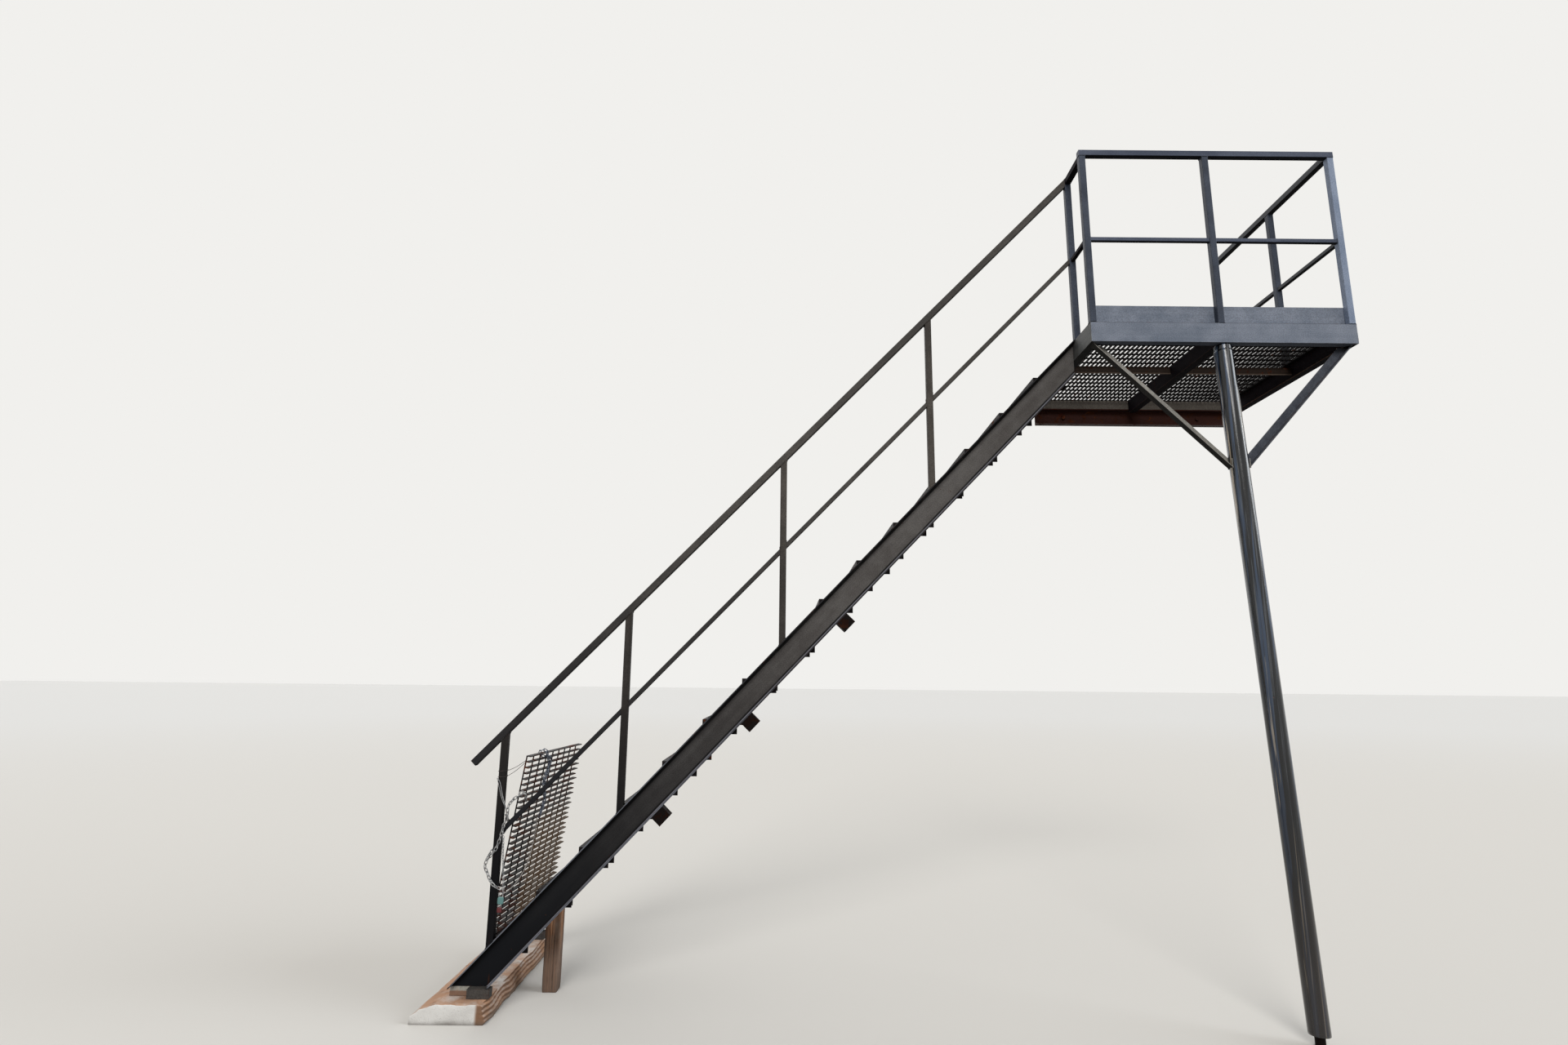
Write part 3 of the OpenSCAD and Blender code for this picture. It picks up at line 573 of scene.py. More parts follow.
# The barrier's lower far corner is drawn tan as painted sunlight
BARRIER = rusted_steel("barrier_rust", (16, 11, 11), 0.6, dark=0.7, tint=0.3,
                       shade=(sunlit_corner, 0.8, (128, 104, 80)))
CONCRETE = cast_concrete()
MORTAR = mortar()
TIMBER = weathered_timber()
ZINC_DARK = zinc_chain("dull_chain", (70, 78, 92), (128, 136, 150))
ZINC_LIGHT = zinc_chain("pale_chain", (92, 94, 98), (176, 176, 175))
TIE_WIRE = zinc_chain("black_wire", (24, 22, 24), (52, 48, 48), rust=0.6)

FINISHES = {node: finish for finish, members in (
    (LEDGER, "wall_ledger"), (FADED, "outer_channel toe_plate"), (FADED_END, "left_end_channel"),
    (DARK_FRAME, "right_end_channel middle_joist corner_rail_links"),
    (BEARER, "front_bearer middle_bearer"), (WALL_BEARER, "wall_bearer"),
    (RAIL["X"], "front_top_rail front_mid_rail"), (RAIL["Y"], "end_top_rail end_mid_rail"),
    (RAIL["Z"], "left_corner_post middle_post end_rail_post stair_top_post"),
    (SUNNY_POST, "right_corner_post"), (FLIGHT, "outer_stringer wall_stringer"),
    (FOOT, "stringer_feet"), (MORTAR, "foot_packers"),
    (STAIR_POST, "stair_post_1 stair_post_2 stair_post_3 stair_post_4"),
    (STAIR_RAIL, "stair_hand_rail stair_mid_rail"), (COLUMN, "column_cap"),
    (BLOCK, "column_foot stringer_blocks"), (BRACE, "left_brace"), (BLUE_BRACE, "right_brace"),
    (BARRIER, "barrier_panel")) for node in members.split()}

for node_name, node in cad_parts.items():
    finish = FINISHES.get(node_name, TREAD)
    for slot in node.material_slots:
        slot.material = finish
    if not node.material_slots:
        node.data.materials.append(finish)


# Surfaces


def unit(vectors):
    """Vectors of length 1 along the last axis."""
    return vectors / np.linalg.norm(vectors, axis=-1, keepdims=True)


def ring_angles(count):
    """A row of angles evenly round a circle."""
    return np.linspace(0.0, TURN, count, endpoint=False)[None, :]


def grid(x, y, z):
    """Points from their coordinates, spread out to one shape."""
    return np.stack(np.broadcast_arrays(x, y, z), -1)


def box_of(node):
    """The lowest and highest corners of a CAD node, as arrays."""
    return np.array(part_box(node))


def lumps(points, size, seed):
    """Soft values from -1 to 1: random numbers on a cubic lattice of this size, which repeats
    after 32 cells, blended between the eight corners round each point by 3t^2 - 2t^3."""
    table = np.random.default_rng(seed).uniform(-1.0, 1.0, (32, 32, 32))
    at = np.asarray(points) / size + 512.0
    cell = np.floor(at).astype(int)
    share = at - cell
    share = share * share * (3.0 - 2.0 * share)
    total = 0.0
    for corner in itertools.product((0, 1), repeat=3):
        weight = np.prod(np.where(np.array(corner) == 1, share, 1.0 - share), axis=-1)
        i, j, k = np.moveaxis((cell + corner) % 32, -1, 0)
        total = total + weight * table[i, j, k]
    return total


def shell(points, ring=False):
    """A closed skin on a grid of points. Each row is a closed ring of columns. The rows join in
    a ring of their own, or a flat face closes the first and the last. The sign of the volume,
    a sum of a . (b x c) over the triangles, tells which way the faces have to point."""
    rows, columns = points.shape[:2]
    row = np.arange(rows if ring else rows - 1)[:, None]
    column = np.arange(columns)[None, :]
    after, above = (column + 1) % columns, (row + 1) % rows
    corners = (row * columns + column, row * columns + after, above * columns + after,
               above * columns + column)
    quads = np.stack(np.broadcast_arrays(*corners), -1).reshape(-1, 4)
    flat = points.reshape(-1, 3) - points.reshape(-1, 3).mean(0)
    a, b, c, d = (flat[quads[:, i]] for i in range(4))
    inward = np.sum(a * np.cross(b, c)) + np.sum(a * np.cross(c, d)) < 0.0
    faces = (quads[:, ::-1] if inward else quads).tolist()
    if not ring:
        first = np.arange(columns)
        last = first + (rows - 1) * columns
        faces.append((first if inward else first[::-1]).tolist())
        faces.append((last[::-1] if inward else last).tolist())
    return points.reshape(-1, 3), faces


def add_piece(name, shells, finish, smooth=True, replaces=None):
    """One object from closed skins, kept inside the CAD box, with its finish."""
    points, faces, start = [], [], 0
    for skin_points, skin_faces in shells:
        points.append(skin_points)
        faces.extend([[corner + start for corner in face] for face in skin_faces])
        start += len(skin_points)
    mesh = bpy.data.meshes.new(name)
    mesh.from_pydata(np.clip(np.concatenate(points), cad_low, cad_high).tolist(), [], faces)
    mesh.polygons.foreach_set("use_smooth", np.full(len(faces), smooth))
    mesh.materials.append(finish)
    piece = add_object(name, mesh)
    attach(piece, "root")
    if replaces:
        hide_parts(replaces)
    return piece


def spaced(points, step, ring=False):
    """Points about a step apart along straight stretches between the given ones."""
    knots = np.asarray(points, float)
    if ring:
        knots = np.concatenate([knots, knots[:1]])
    passed = np.concatenate([[0.0], np.cumsum(np.linalg.norm(np.diff(knots, axis=0), axis=1))])
    count = max(int(round(passed[-1] / step)), 3)
    stops = np.linspace(0.0, passed[-1], count + (0 if ring else 1), endpoint=not ring)
    return np.stack([np.interp(stops, passed, knots[:, axis]) for axis in range(3)], -1)


def smooth_path(points, step):
    """Points about a step apart along the curve through the given ones: on each stretch the
    cubic whose end slopes are half the difference of the points on either side."""
    knots = np.asarray(points, float)
    ends = np.concatenate([2 * knots[:1] - knots[1:2], knots, 2 * knots[-1:] - knots[-2:-1]])
    share = np.linspace(0.0, 1.0, 16, endpoint=False)[None, :, None]
    a, b, c, d = (ends[i:len(ends) - 3 + i, None] for i in range(4))
    curve = 0.5 * (2 * b + (c - a) * share + (2 * a - 5 * b + 4 * c - d) * share ** 2
                   + (3 * b - a - 3 * c + d) * share ** 3)
    return spaced(np.concatenate([curve.reshape(-1, 3), knots[-1:]]), step)


def tube(path, radius, sides=8, over=(0.0, 0.0, 1.0), ring=False, twist=0.0):
    """A circle carried along a path. Its first axis is square to the path and to over, and
    twist turns it, in turns along the whole path. radius may change from row to row."""
    ahead = np.roll(path, -1, 0) - np.roll(path, 1, 0)
    if not ring:
        ahead[0], ahead[-1] = path[1] - path[0], path[-1] - path[-2]
    ahead = unit(ahead)
    side = unit(np.cross(ahead, over))
    up = np.cross(side, ahead)
    radius = np.broadcast_to(np.asarray(radius, float), (len(path), sides))[..., None]
    angle = (np.arange(sides)[None, :] / sides
             + np.linspace(0.0, twist, len(path))[:, None])[..., None] * TURN
    return shell(path[:, None] + radius * (np.cos(angle) * side[:, None]
                                           + np.sin(angle) * up[:, None]), ring)


# Weld beads


def bead(path, radius=0.0026, over=(0.0, 0.0, 1.0), ring=True, seed=1):
    """A weld bead: a circle carried along a path, with a ripple every 4 mm and uneven width."""
    step, ripple = 0.0016, 0.004
    path = spaced(path, step, ring)
    along = np.arange(len(path)) * step
    uneven = lumps(path, 0.012, seed)
    width = radius * (1.0 + 0.16 * np.sin(TURN * along / ripple + 2.0 * uneven) + 0.22 * uneven)
    return tube(path, width[:, None], 6, over, ring)


def tube_bead(axis, at, low, high, slope=0.0, seed=1):
    """A bead round a square tube that meets a face square to an axis. low and high are the
    tube's corners, and slope tilts the bead's plane along X."""
    first, second = (i for i in range(3) if i != axis)
    corners = np.full((4, 3), at)
    corners[:, first] = low[first], high[first], high[first], low[first]
    corners[:, second] = low[second], low[second], high[second], high[second]
    corners[:, 2] += slope * (corners[:, 0] - (low[0] + high[0]) / 2)
    return bead(corners, over=np.eye(3)[axis], seed=seed)


def platform_beads():
    """Beads at the feet and heads of the posts, and where the middle rails meet the posts."""
    posts = [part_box(post) for post in ("left_corner_post", "middle_post", "right_corner_post",
                                       "end_rail_post", "stair_top_post")]
    beads = []
    for seed, (low, high) in enumerate(posts):
        beads += [tube_bead(2, low[2] + 0.001, low, high, seed=seed),
                  tube_bead(2, high[2] - 0.001, low, high, seed=seed + 20)]
    rail_low, rail_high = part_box("front_mid_rail")
    for seed, (low, high) in enumerate(posts[:3]):
        beads += [tube_bead(0, x, rail_low, rail_high, seed=seed + 40) for x in (low[0], high[0])
                  if rail_low[0] - 0.01 < x < rail_high[0] + 0.01]
    rail_low, rail_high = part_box("end_mid_rail")
    meets = (rail_low[1], posts[3][0][1], posts[3][1][1])
    return beads + [tube_bead(1, y, rail_low, rail_high, seed=seed + 50)
                    for seed, y in enumerate(meets)]


def flight_beads():
    """Beads at the feet and heads of the stair posts and where the middle rail meets them."""
    rail_low, rail_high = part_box("stair_mid_rail")
    rail_rate = (rail_high[2] - rail_low[2]) / (rail_high[0] - rail_low[0])
    beads = []
    for index in range(1, 5):
        low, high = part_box("stair_post_%d" % index)
        half = (high[0] - low[0]) / 2
        foot, head = low[2] + half * RISE / RUN, high[2] - half * rail_rate
        beads += [tube_bead(2, foot + 0.001, low, high, RISE / RUN, index),
                  tube_bead(2, head - 0.001, low, high, rail_rate, index + 10)]
        for x in (low[0], high[0]):
            if rail_low[0] < x < rail_high[0]:
                z = rail_low[2] + (x - rail_low[0]) * rail_rate
                beads.append(tube_bead(0, x, (x, rail_low[1], z - 0.004),
                                       (x, rail_high[1], z + 0.03), seed=index + 30))
    return beads


add_piece("platform_weld_beads", platform_beads(), RAIL["Z"])
add_piece("flight_weld_beads", flight_beads(), STAIR_POST)


# The floor's gratings

BAR_THICK, BAR_DEPTH, BAR_PITCH, BAR_ROUNDING = 0.005, 0.016, 0.0284, 0.0009
ROD, ROD_PITCH, ROD_TWIST = 0.009, 0.0706, 0.05


def floor_grating(node):
    """A welded grating. Each bearing bar is a rounded flat section carried along Y with a hair
    of waviness. Each cross rod is a square carried along X and turned once every 50 mm, let in
    level with the tops of the bars."""
    low, high = box_of(node)
    half, top = BAR_THICK / 2, BAR_DEPTH - BAR_ROUNDING
    flat = half - BAR_ROUNDING
    section = np.array([[-flat, 0], [flat, 0], [half, BAR_ROUNDING], [half, top],
                        [flat, BAR_DEPTH], [-flat, BAR_DEPTH], [-half, top],
                        [-half, BAR_ROUNDING]])
    steps = 14
    y = np.linspace(low[1], high[1], steps)
    swing = np.sin(np.linspace(0.0, math.pi, steps))
    bars = int(round((high[0] - low[0] - BAR_THICK) / BAR_PITCH))
    skins = []
    for bar, x in enumerate(np.linspace(low[0] + half, high[0] - half, bars + 1)):
        wave = lumps(grid(x, y, low[2]), 0.21, bar) * 0.0006 * swing
        skins.append(shell(grid(x + wave[:, None] + section[:, 0], y[:, None],
                                low[2] + section[:, 1])))
    rods = int((high[1] - low[1] - 0.006) / ROD_PITCH)
    first_rod = (low[1] + high[1] - rods * ROD_PITCH) / 2
    x = np.arange(low[0], high[0], 0.0045)[:, None]
    turn = (x - low[0]) / ROD_TWIST * TURN + ring_angles(4)
    reach = ROD / 2 * math.sqrt(2.0)
    for index in range(rods + 1):
        angle = turn + 1.7 * index
        skins.append(shell(grid(x, first_rod + index * ROD_PITCH + reach * np.cos(angle),
                                low[2] + BAR_DEPTH - reach + reach * np.sin(angle))))
    return skins


for grating in ("left_floor_grating", "right_floor_grating"):
    add_piece(grating + "_bars", floor_grating(grating), GRATING, smooth=False,
              replaces=grating)


# The column's tube


def column_skin():
    """A leaning tube with level ends: at height z a circle of radius 50.8 mm round the leaning
    centre line, its surface let in by up to 0.75 mm of soft waves and long drips."""
    low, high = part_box("column_pipe")
    radius = (high[1] - low[1]) / 2
    z = np.linspace(low[2], high[2], 300)[:, None]
    centre_x = np.interp(z, [low[2], high[2]], [high[0] - radius, low[0] + radius])
    round_x, round_y = np.cos(ring_angles(96)), np.sin(ring_angles(96))
    place = grid(round_x, round_y, z * 0.35)
    wave = lumps(place, 0.33, 5) * 0.5 + lumps(place * (1.0, 1.0, 3.0), 0.12, 6) * 0.2
    inner = radius - 0.0004 + 0.0005 * np.minimum(wave, 0.7)
    return shell(grid(centre_x + inner * round_x, (low[1] + high[1]) / 2 + inner * round_y, z))


def column_seams():
    """Round beads above and below the cap, where it is welded to the tube and the channel."""
    low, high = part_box("column_cap")
    middle, radius = (low + high) / 2, (high[0] - low[0]) / 2
    across, deep = np.cos(ring_angles(90)[0]), np.sin(ring_angles(90)[0])
    return [bead(grid(middle[0] + size * across, middle[1] + size * deep, z), 0.0028, seed=seed)
            for seed, z, size in ((60, low[2] + 0.001, radius),
                                  (61, high[2] - 0.002, radius - 0.01))]


add_piece("column_tube", [column_skin()], COLUMN, replaces="column_pipe")
add_piece("column_seams", column_seams(), COLUMN)


# Brace ends


def brace_beads():
    """Short beads along the ends of the braces, under the channel and down the column's side."""
    beads = []
    for seed, (brace, side) in enumerate((("left_brace", -1), ("right_brace", 1))):
        low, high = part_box(brace)
        top_x, foot_x = (low[0], high[0]) if side < 0 else (high[0], low[0])
        foot_x, top_z = foot_x + side * 0.007, high[2] - 0.001
        beads += [bead([(top_x - side * 0.004, y, top_z), (top_x - side * run, y, top_z)], 0.003,
                       ring=False, seed=seed + first)
                  for y, run, first in ((high[1], 0.062, 70), (low[1], 0.012, 72))]
        beads += [bead([(foot_x, y, low[2] + 0.004), (foot_x, y, low[2] + 0.058)], 0.003,
                       (0.0, 1.0, 0.0), ring=False, seed=seed + 74) for y in (low[1], high[1])]
    return beads


add_piece("brace_weld_beads", brace_beads(), BRACE)


# Bolts through the ledger

BOLT_INSET, WEB_THICK = 0.2075, 0.006
# Rings from the wall outwards: half width across flats, depth off the web, outer radius
WASHER = [(radius, depth, radius) for radius, depth in (
    (0.008, -0.0055), (0.008, 0.0), (0.0145, 0.0), (0.015, 0.0006), (0.015, 0.0024),
    (0.0145, 0.003), (0.009, 0.003))]
HEAD = [(0.012, 0.003, 0.0138), (0.012, 0.0118, 0.0138), (0.012, 0.0126, 0.0125),
        (0.0105, 0.013, 0.0115), (0.002, 0.0131, 0.0115)]


def ledger_bolts():
    """A bolt and its washer at each end of the ledger's web. A ring's radius at an angle is that
    of a hexagon, half its width across flats over the cosine of the angle from the nearest
    flat's middle, held within a circle, which makes the washer round and chamfers the head."""
    ledger_low, ledger_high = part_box("wall_ledger")
    web_y = ledger_high[1] - WEB_THICK
    angle = ring_angles(72)
    from_flat = (angle + math.pi / 6) % (math.pi / 3) - math.pi / 6
    skins = []
    for x in (ledger_low[0] + BOLT_INSET, ledger_high[0] - BOLT_INSET):
        for profile in (WASHER, HEAD):
            flat, depth, limit = np.array(profile).T[..., None]
            size = np.minimum(flat / np.cos(from_flat), limit)
            skins.append(shell(grid(x + size * np.cos(angle), web_y - depth,
                                    size * np.sin(angle))))
    return skins


add_piece("ledger_bolts", ledger_bolts(), LEDGER, smooth=False)


# Rough concrete and timber


def footing_skin():
    """The footing's section, carried along Y between rings that shrink towards the middle of
    each end. The skin is let in by lumps at four sizes, by chips that bite deepest at the top,
    and by level layers that step the side towards the stair."""
    low, high = box_of("concrete_footing")
    width, height = high[0] - low[0], high[2] - low[2]
    flare, right = 0.132, 0.0198
    section = np.array([[0.0, 0.0], [0.0, 0.35], [0.35 * flare / width, 0.75],
                        [flare / width, 1.0], [1.0 - right / width, 1.0], [1.0, 0.2],
                        [1.0, 0.0]]) * (width, height)
    outline = spaced(np.insert(section, 1, 0.0, axis=1), 0.0045, ring=True)[:, (0, 2)]
    middle = np.array([width * 0.55, height * 0.45])
    inset = 0.006
    along = np.linspace(low[1] + inset, high[1] - inset, 190)
    close = np.sin(np.linspace(0.0, math.pi / 2, 14))[:-1]
    bulge = np.sqrt(1 - close ** 2) * inset
    shrink = np.concatenate([close, np.ones(len(along)), close[::-1]]) * 0.985 + 0.015
    flat = middle + (outline[None] - middle) * shrink[:, None, None]
    y = np.concatenate([along[0] - bulge, along, along[-1] + bulge[::-1]])
    points = grid(low[0] + flat[..., 0], y[:, None], low[2] + flat[..., 1])
    rough = (lumps(points, 0.06, 11) * 0.0032 + lumps(points, 0.022, 12) * 0.0019
             + lumps(points, 0.009, 13) * 0.001 + lumps(points, 0.004, 14) * 0.0005)
    bites = np.maximum(lumps(points, 0.045, 15) - 0.32, 0.0) * 0.016
    top_edge = np.exp(-np.abs(points[..., 2] - high[2]) / 0.012)
    side = 1.0 / (1.0 + np.exp(-(points[..., 0] - (high[0] - 0.04)) / 0.004))
    layer = np.sin(TURN * (points[..., 2] / 0.024 + 0.5 * lumps(points, 0.14, 16)))
    depth_in = 0.0045 + rough + bites * (0.35 + top_edge) + side * (0.0065 + 0.005 * layer)
    centre = grid(low[0] + middle[0], points[..., 1], low[2] + middle[1])
    towards = unit(centre - points + 1e-9)
    towards[..., 2] = np.where(points[..., 2] < low[2] + 0.003, 0.0, towards[..., 2])
    spread = np.linalg.norm(centre - points, axis=-1) / 0.1
    return shell(points + towards * (depth_in * np.minimum(spread, 1.0))[..., None])


def timber_skin():
    """A sawn post: a square with rounded corners at each height, let in by long grain ridges,
    by open checks that wander up three faces, and by worn ends."""
    low, high = box_of("timber_prop")
    half = (high[0] - low[0]) / 2
    centre = (low + high) / 2
    z = np.linspace(low[2], high[2], 150)[:, None]
    angle = ring_angles(160)
    squareness = 12.0
    reach = (np.abs(np.cos(angle)) ** squareness + np.abs(np.sin(angle)) ** squareness) ** (
        -1.0 / squareness)
    x, y = half * reach * np.cos(angle), half * reach * np.sin(angle)
    place = grid(x, y, z * 0.06)
    grain = lumps(place, 0.006, 21) * 0.0007 + lumps(place, 0.0025, 22) * 0.0004
    checks = 0.0
    share = (z - low[2]) / (high[2] - low[2])
    level = grid(0.0, 0.0, z)
    for seed, (start, bottom, top) in enumerate(((4.35, 0.25, 0.95), (5.0, 0.0, 0.6),
                                                 (4.72, 0.45, 1.0), (0.3, 0.1, 0.8),
                                                 (3.4, 0.2, 0.9))):
        line = start + 0.07 * lumps(level, 0.11, 23 + seed) + 0.02 * lumps(level, 0.02, 33 + seed)
        gape = np.clip((share - bottom) * 8, 0, 1) * np.clip((top - share) * 8, 0, 1) * 0.0055
        checks = checks + np.exp(-((angle - line) / 0.028) ** 2) * gape
    worn = 0.004 * np.exp(-(z - low[2]) / 0.02) + 0.002 * np.exp(-(high[2] - z) / 0.008)
    inward = 0.001 + grain + checks + worn
    share_in = 1.0 - inward / (half * reach)
    return shell(grid(centre[0] + x * share_in, centre[1] + y * share_in, z))


add_piece("rough_footing", [footing_skin()], CONCRETE, replaces="concrete_footing")
add_piece("timber_post", [timber_skin()], TIMBER, replaces="timber_prop")


# Chain, locks and wires at the barrier

# How far the panel leans back and turns from the wall, and its near lower corner
LEAN, SKEW = math.radians(8.6), math.radians(4.4)
BARRIER_FOOT = np.array([-4.0985, -0.993, -3.27026])
BARRIER_AXES = np.array([
    [math.cos(SKEW) * math.cos(LEAN), -math.sin(SKEW) * math.cos(LEAN), -math.sin(LEAN)],
    [math.sin(SKEW), math.cos(SKEW), 0.0],
    [math.cos(SKEW) * math.sin(LEAN), -math.sin(SKEW) * math.sin(LEAN), math.cos(LEAN)]])


def on_barrier(*points):
    """Points given out from the panel's back face, along its bars and up it, in millimetres."""
    return BARRIER_FOOT + np.array(points) / 1000.0 @ BARRIER_AXES


def chain(path, pitch=0.021, wire=0.0052, width=0.019):
    """Oval links a pitch apart along a path, each turned a quarter from the last. A link is a
    circle carried round an oval, its long half axis out to the next link's inside."""
    centres = smooth_path(path, pitch)
    ahead = unit(np.gradient(centres, axis=0))
    side = unit(np.cross(ahead, (0.3, 1.0, 0.1)))
    up = np.cross(side, ahead)
    odd = (np.arange(len(centres)) % 2 == 1)[:, None]
    axes = np.stack([ahead, np.where(odd, up, side), np.where(odd, -side, up)], 1)
    angle = ring_angles(20)[0]
    bend = (width - wire) / 2
    straight = (pitch + wire) / 2 - bend
    oval = grid(bend * np.cos(angle) + straight * np.tanh(3 * np.cos(angle)),
                bend * np.sin(angle), 0.0)
    points, faces = tube(oval, wire / 2, 8, ring=True)
    placed = np.einsum("pi,kij->kpj", points, axes) + centres[:, None]
    quads = np.array(faces)[None] + (np.arange(len(centres)) * len(points))[:, None, None]
    return placed.reshape(-1, 3), quads.reshape(-1, 4).tolist()


def wire_run(path, diameter):
    """A thin wire: a circle carried along a smooth path."""
    return tube(smooth_path(path, 0.006), diameter / 2, 8, (0.0, 1.0, 0.0))


POST_LOW, POST_HIGH = box_of("stair_post_1")
FRONT = POST_LOW[1] - 0.010
BEHIND = POST_HIGH[1] + 0.012


def in_front(*places):
    """Points just before the face of the lowest post, from their X and Z."""
    return [(x, FRONT, z) for x, z in places]


top_chain = chain(on_barrier(
    (33, 315, 575), (34, 326, 625), (33, 338, 680), (34, 300, 730), (33, 262, 765),
    (34, 292, 810), (33, 296, 870), (34, 245, 920), (30, 225, 948), (12, 222, 956),
    (-8, 225, 945), (-12, 235, 930), (-4, 250, 917), (14, 265, 916), (34, 280, 912),
    (36, 300, 870), (35, 262, 800), (36, 290, 755), (36, 310, 700), (36, 340, 655),
    (36, 322, 600)))
post_chain = chain(np.concatenate([
    on_barrier((30, 50, 700), (34, 15, 735), (20, -8, 745), (4, -10, 720)),
    [(-4.004, -1.02, -2.5676)],
    in_front((-4.02, -2.6001), (-4.0225, -2.6534), (-4.0369, -2.6955), (-4.0496, -2.7583),
             (-4.071, -2.8208), (-4.096, -2.8542), (-4.116, -2.8833), (-4.1208, -2.9122),
             (-4.1047, -2.9447), (-4.0889, -2.9773), (-4.0647, -3.0056), (-4.036, -3.0175))]))
rear_chain = chain([(-4.0275, FRONT + 0.004, -2.65), (-4.034, BEHIND, -2.70),
                    (-4.07, BEHIND, -2.77), (-4.105, BEHIND, -2.83),
                    (-4.118, FRONT + 0.02, -2.87)])
hanging_chain = chain(in_front((-4.034, -2.76), (-4.031, -2.83), (-4.025, -2.90),
                               (-4.018, -2.97), (-4.014, -3.03)),
                      pitch=0.014, wire=0.0034, width=0.012)
add_piece("barrier_chain", [top_chain], ZINC_DARK)
add_piece("post_chain", [post_chain, rear_chain], ZINC_LIGHT)
add_piece("hanging_chain", [hanging_chain], ZINC_LIGHT)


def padlock(centre, width, height, depth):
    """A padlock: a body whose outline is a rounded square of power 5, its front and back edges
    rounded over, and a shackle bent to half a circle with straight legs."""
    angle = ring_angles(64)
    lay = np.linspace(-math.pi / 2, math.pi / 2, 15)[:, None]
    rounding = 0.82 + 0.18 * np.cos(lay) ** 0.5
    reach = (np.abs(np.cos(angle)) ** 5 + np.abs(np.sin(angle)) ** 5) ** -0.2
    body = grid(centre[0] + width / 2 * rounding * reach * np.cos(angle),
                centre[1] + depth / 2 * np.sin(lay),
                centre[2] + height / 2 * rounding * reach * np.sin(angle))
    bow = np.linspace(0.0, math.pi, 17)
    leg = width * 0.32
    arch = grid(centre[0] + leg * np.cos(bow), centre[1],
                centre[2] + height * 0.78 + leg * np.sin(bow))
    foot = centre[2] + height * 0.4
    path = np.concatenate([[(centre[0] + leg, centre[1], foot)], arch,
                           [(centre[0] - leg, centre[1], foot)]])
    return [shell(body)], [tube(spaced(path, 0.002), width * 0.09, 10, (0.0, 1.0, 0.0))]


teal_body, teal_bow = padlock((-4.0235, FRONT - 0.002, -3.078), 0.031, 0.038, 0.015)
red_body, red_bow = padlock((-4.0265, FRONT - 0.002, -3.124), 0.024, 0.028, 0.012)
add_piece("teal_padlock", teal_body,
          lock_paint("teal_enamel", (86, 124, 122), (128, 140, 136)))
add_piece("red_padlock", red_body,
          lock_paint("red_enamel", (84, 22, 25), (74, 54, 52)))
add_piece("padlock_bows", teal_bow + red_bow, ZINC_LIGHT)

tie_wires = []
for start_z, end in zip((-2.420, -2.450), on_barrier((3, -1, 915), (3, -1, 905))):
    start = np.array([POST_HIGH[0] + 0.001, POST_LOW[1] + 0.02, start_z])
    sag = (start + end) / 2 - (0.0, 0.0, 0.006)
    (left, front, _), (right, back, _) = POST_LOW - 0.001, POST_HIGH + 0.001
    tie_wires.append(wire_run([start, sag, end], 0.0028))
    tie_wires.append(bead([(left, front, start_z), (right, front, start_z + 0.003),
                           (right, back, start_z + 0.006), (left, back, start_z + 0.003)],
                          0.0014))
add_piece("tie_wires", tie_wires, TIE_WIRE)

post_strand = [
    wire_run([(POST_LOW[0] - 0.004, FRONT + 0.006, -2.455), (-4.0769, FRONT + 0.005, -2.478),
              (-4.0574, FRONT + 0.005, -2.548), (-4.034, FRONT + 0.003, -2.611),
              (-4.028, FRONT + 0.003, -2.640)], 0.004),
    wire_run([(POST_LOW[0] - 0.004, FRONT + 0.006, -2.458), (-4.080, FRONT + 0.003, -2.500),
              (-4.062, FRONT + 0.003, -2.556), (-4.040, FRONT + 0.003, -2.604),
              (-4.030, FRONT + 0.003, -2.636)], 0.003)]
add_piece("post_strand", post_strand, ZINC_LIGHT)


# The slack line on the barrier

TIE_ROUTE = np.array([
    [-3966, -702, -2716], [-3967, -704, -2735], [-3967, -705, -2753], [-3968, -707, -2771],
    [-3968, -710, -2789], [-3969, -713, -2807], [-3970, -717, -2825], [-3971, -722, -2843],
    [-3973, -727, -2860], [-3974, -733, -2877], [-3976, -740, -2894], [-3978, -747, -2911],
    [-3980, -756, -2927], [-3983, -765, -2943], [-3985, -775, -2958], [-3988, -787, -2972],
    [-3991, -799, -2985], [-3995, -812, -2997], [-3998, -826, -3009], [-4002, -840, -3019],
    [-4006, -856, -3028], [-4010, -871, -3037], [-4015, -888, -3044], [-4019, -904, -3050],
    [-4023, -921, -3055], [-4028, -939, -3059], [-4032, -956, -3062], [-4037, -974, -3063],
    [-4041, -991, -3059]]) / 1000.0
TIE_DIAMETER = 0.006


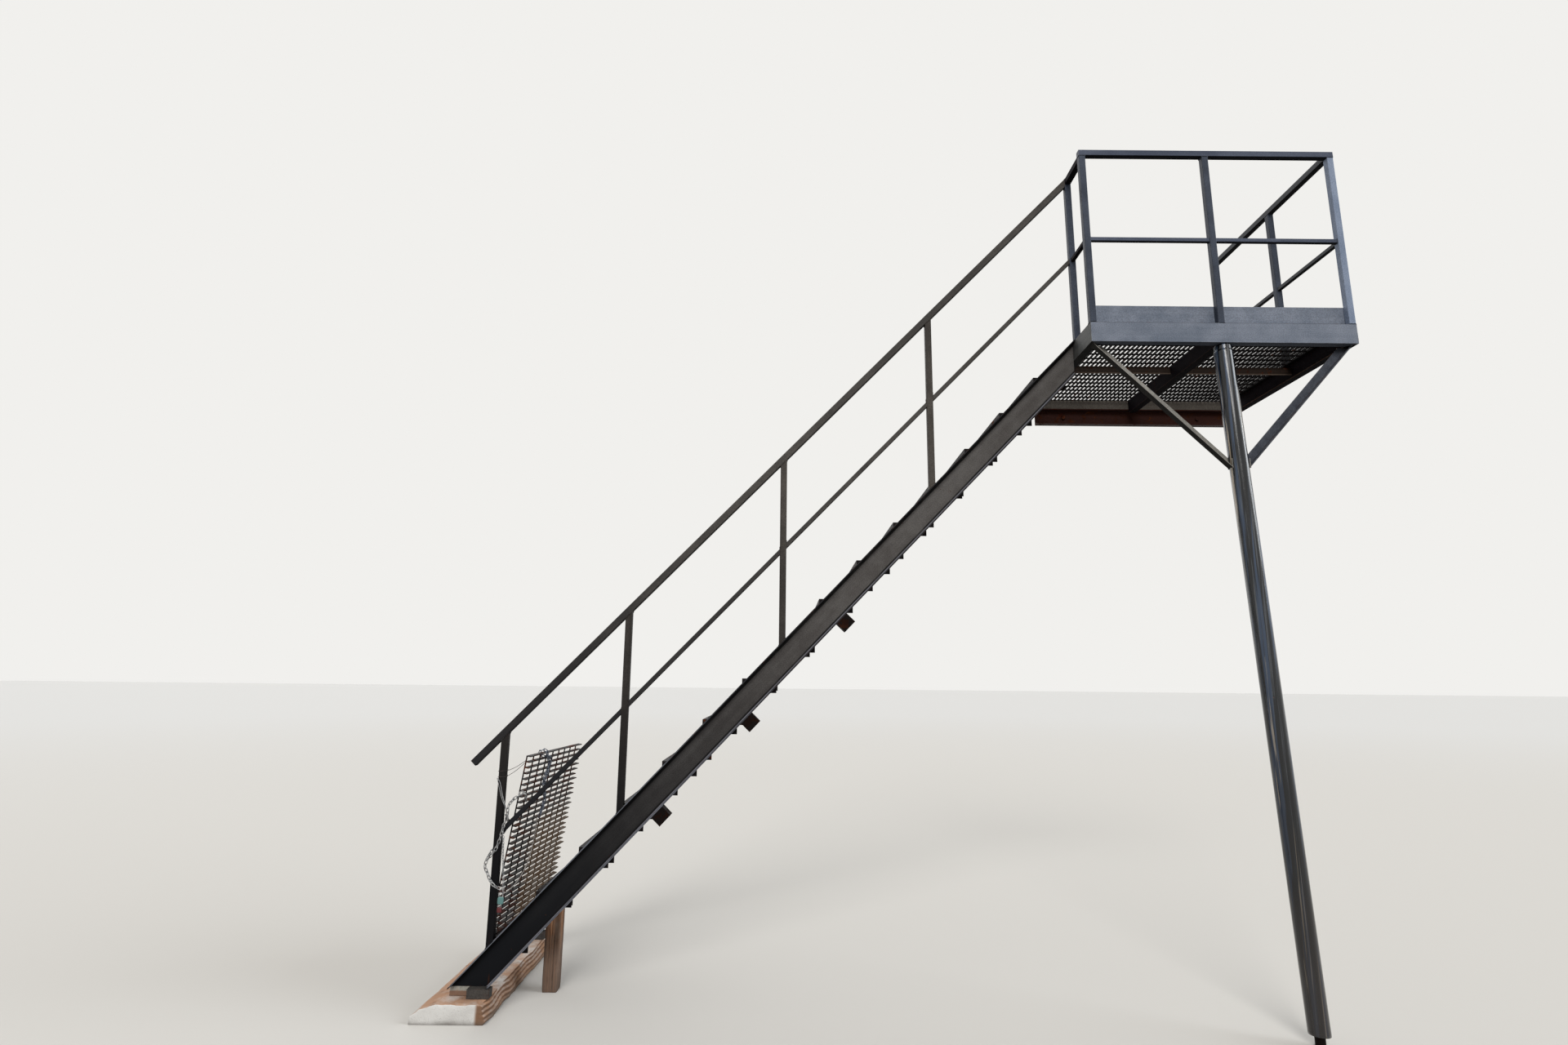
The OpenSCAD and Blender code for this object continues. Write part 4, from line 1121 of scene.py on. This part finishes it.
def twisted_line():
    """Three strands laid together: a circle along the route whose radius swells three times
    round it, turned once every 24 mm."""
    step, sides, lay = 0.002, 18, 0.024
    path = spaced(TIE_ROUTE, step)
    swell = np.abs(np.cos(1.5 * ring_angles(sides))) ** 0.5
    return tube(path, TIE_DIAMETER / 2 * (0.72 + 0.28 * swell), sides, (1.0, 0.0, 0.0),
                twist=step * (len(path) - 1) / lay)


tie_line = add_piece("slack_tie_line", [twisted_line()], tie_fibre(),
                     replaces="tie_line")


# Studio

make_camera()
make_lamp("key_lamp", (-0.12, -0.83, 0.45), 27.0, 1.95, (1.0, 0.985, 0.96))
make_lamp("right_lamp", (0.95, -0.18, 0.45), 34.0, 1.5, (0.9, 0.95, 1.0))
make_lamp("back_lamp", (-0.5, 0.8, 0.5), 60.0, 0.6, (1.0, 1.0, 1.0))


def seen_directly(tree):
    """1 for rays that come from the camera, or by way of metal, gloss or glass, otherwise 0."""
    rays = tree.nodes.new("ShaderNodeLightPath")
    camera, glossy, clear = (Wire(tree, rays.outputs[name]) for name in (
        "Is Camera Ray", "Is Glossy Ray", "Is Transmission Ray"))
    return camera.maths("MAXIMUM", camera.maths("MAXIMUM", camera, glossy), clear)


world = bpy.data.worlds.new("studio")
world.use_nodes = True
world.node_tree.nodes.clear()
sky_strength = seen_directly(world.node_tree) * 0.42 + 0.5
sky = sky_strength.node("Background", None,
                        {"Color": srgb(250, 249, 246), "Strength": sky_strength})
world_out = world.node_tree.nodes.new("ShaderNodeOutputWorld")
world.node_tree.links.new(sky.socket, world_out.inputs["Surface"])
bpy.context.scene.world = world

floor_mesh = bpy.data.meshes.new("studio_floor")
reach = 150.0
floor_mesh.from_pydata([(-reach, -reach, GROUND), (reach, -reach, GROUND), (reach, reach, GROUND),
                        (-reach, reach, GROUND)], [], [(0, 1, 2, 3)])
floor = add_object("studio_floor", floor_mesh)
floor_finish, floor_place, floor_shader = start_material("pale_floor")
distance = floor_place.node("VectorMath", {"operation": "LENGTH"}, {0: floor_place}, out=1)
pale = distance.ramp(7.0, 40.0).mix((212, 209, 204), (217, 216, 214))
floor_colour = seen_directly(floor_finish.node_tree).mix((92, 90, 88), pale)
floor_mesh.materials.append(finish_material(floor_finish, floor_shader, floor_colour, 0.9))

bpy.context.scene.view_settings.view_transform = "Standard"
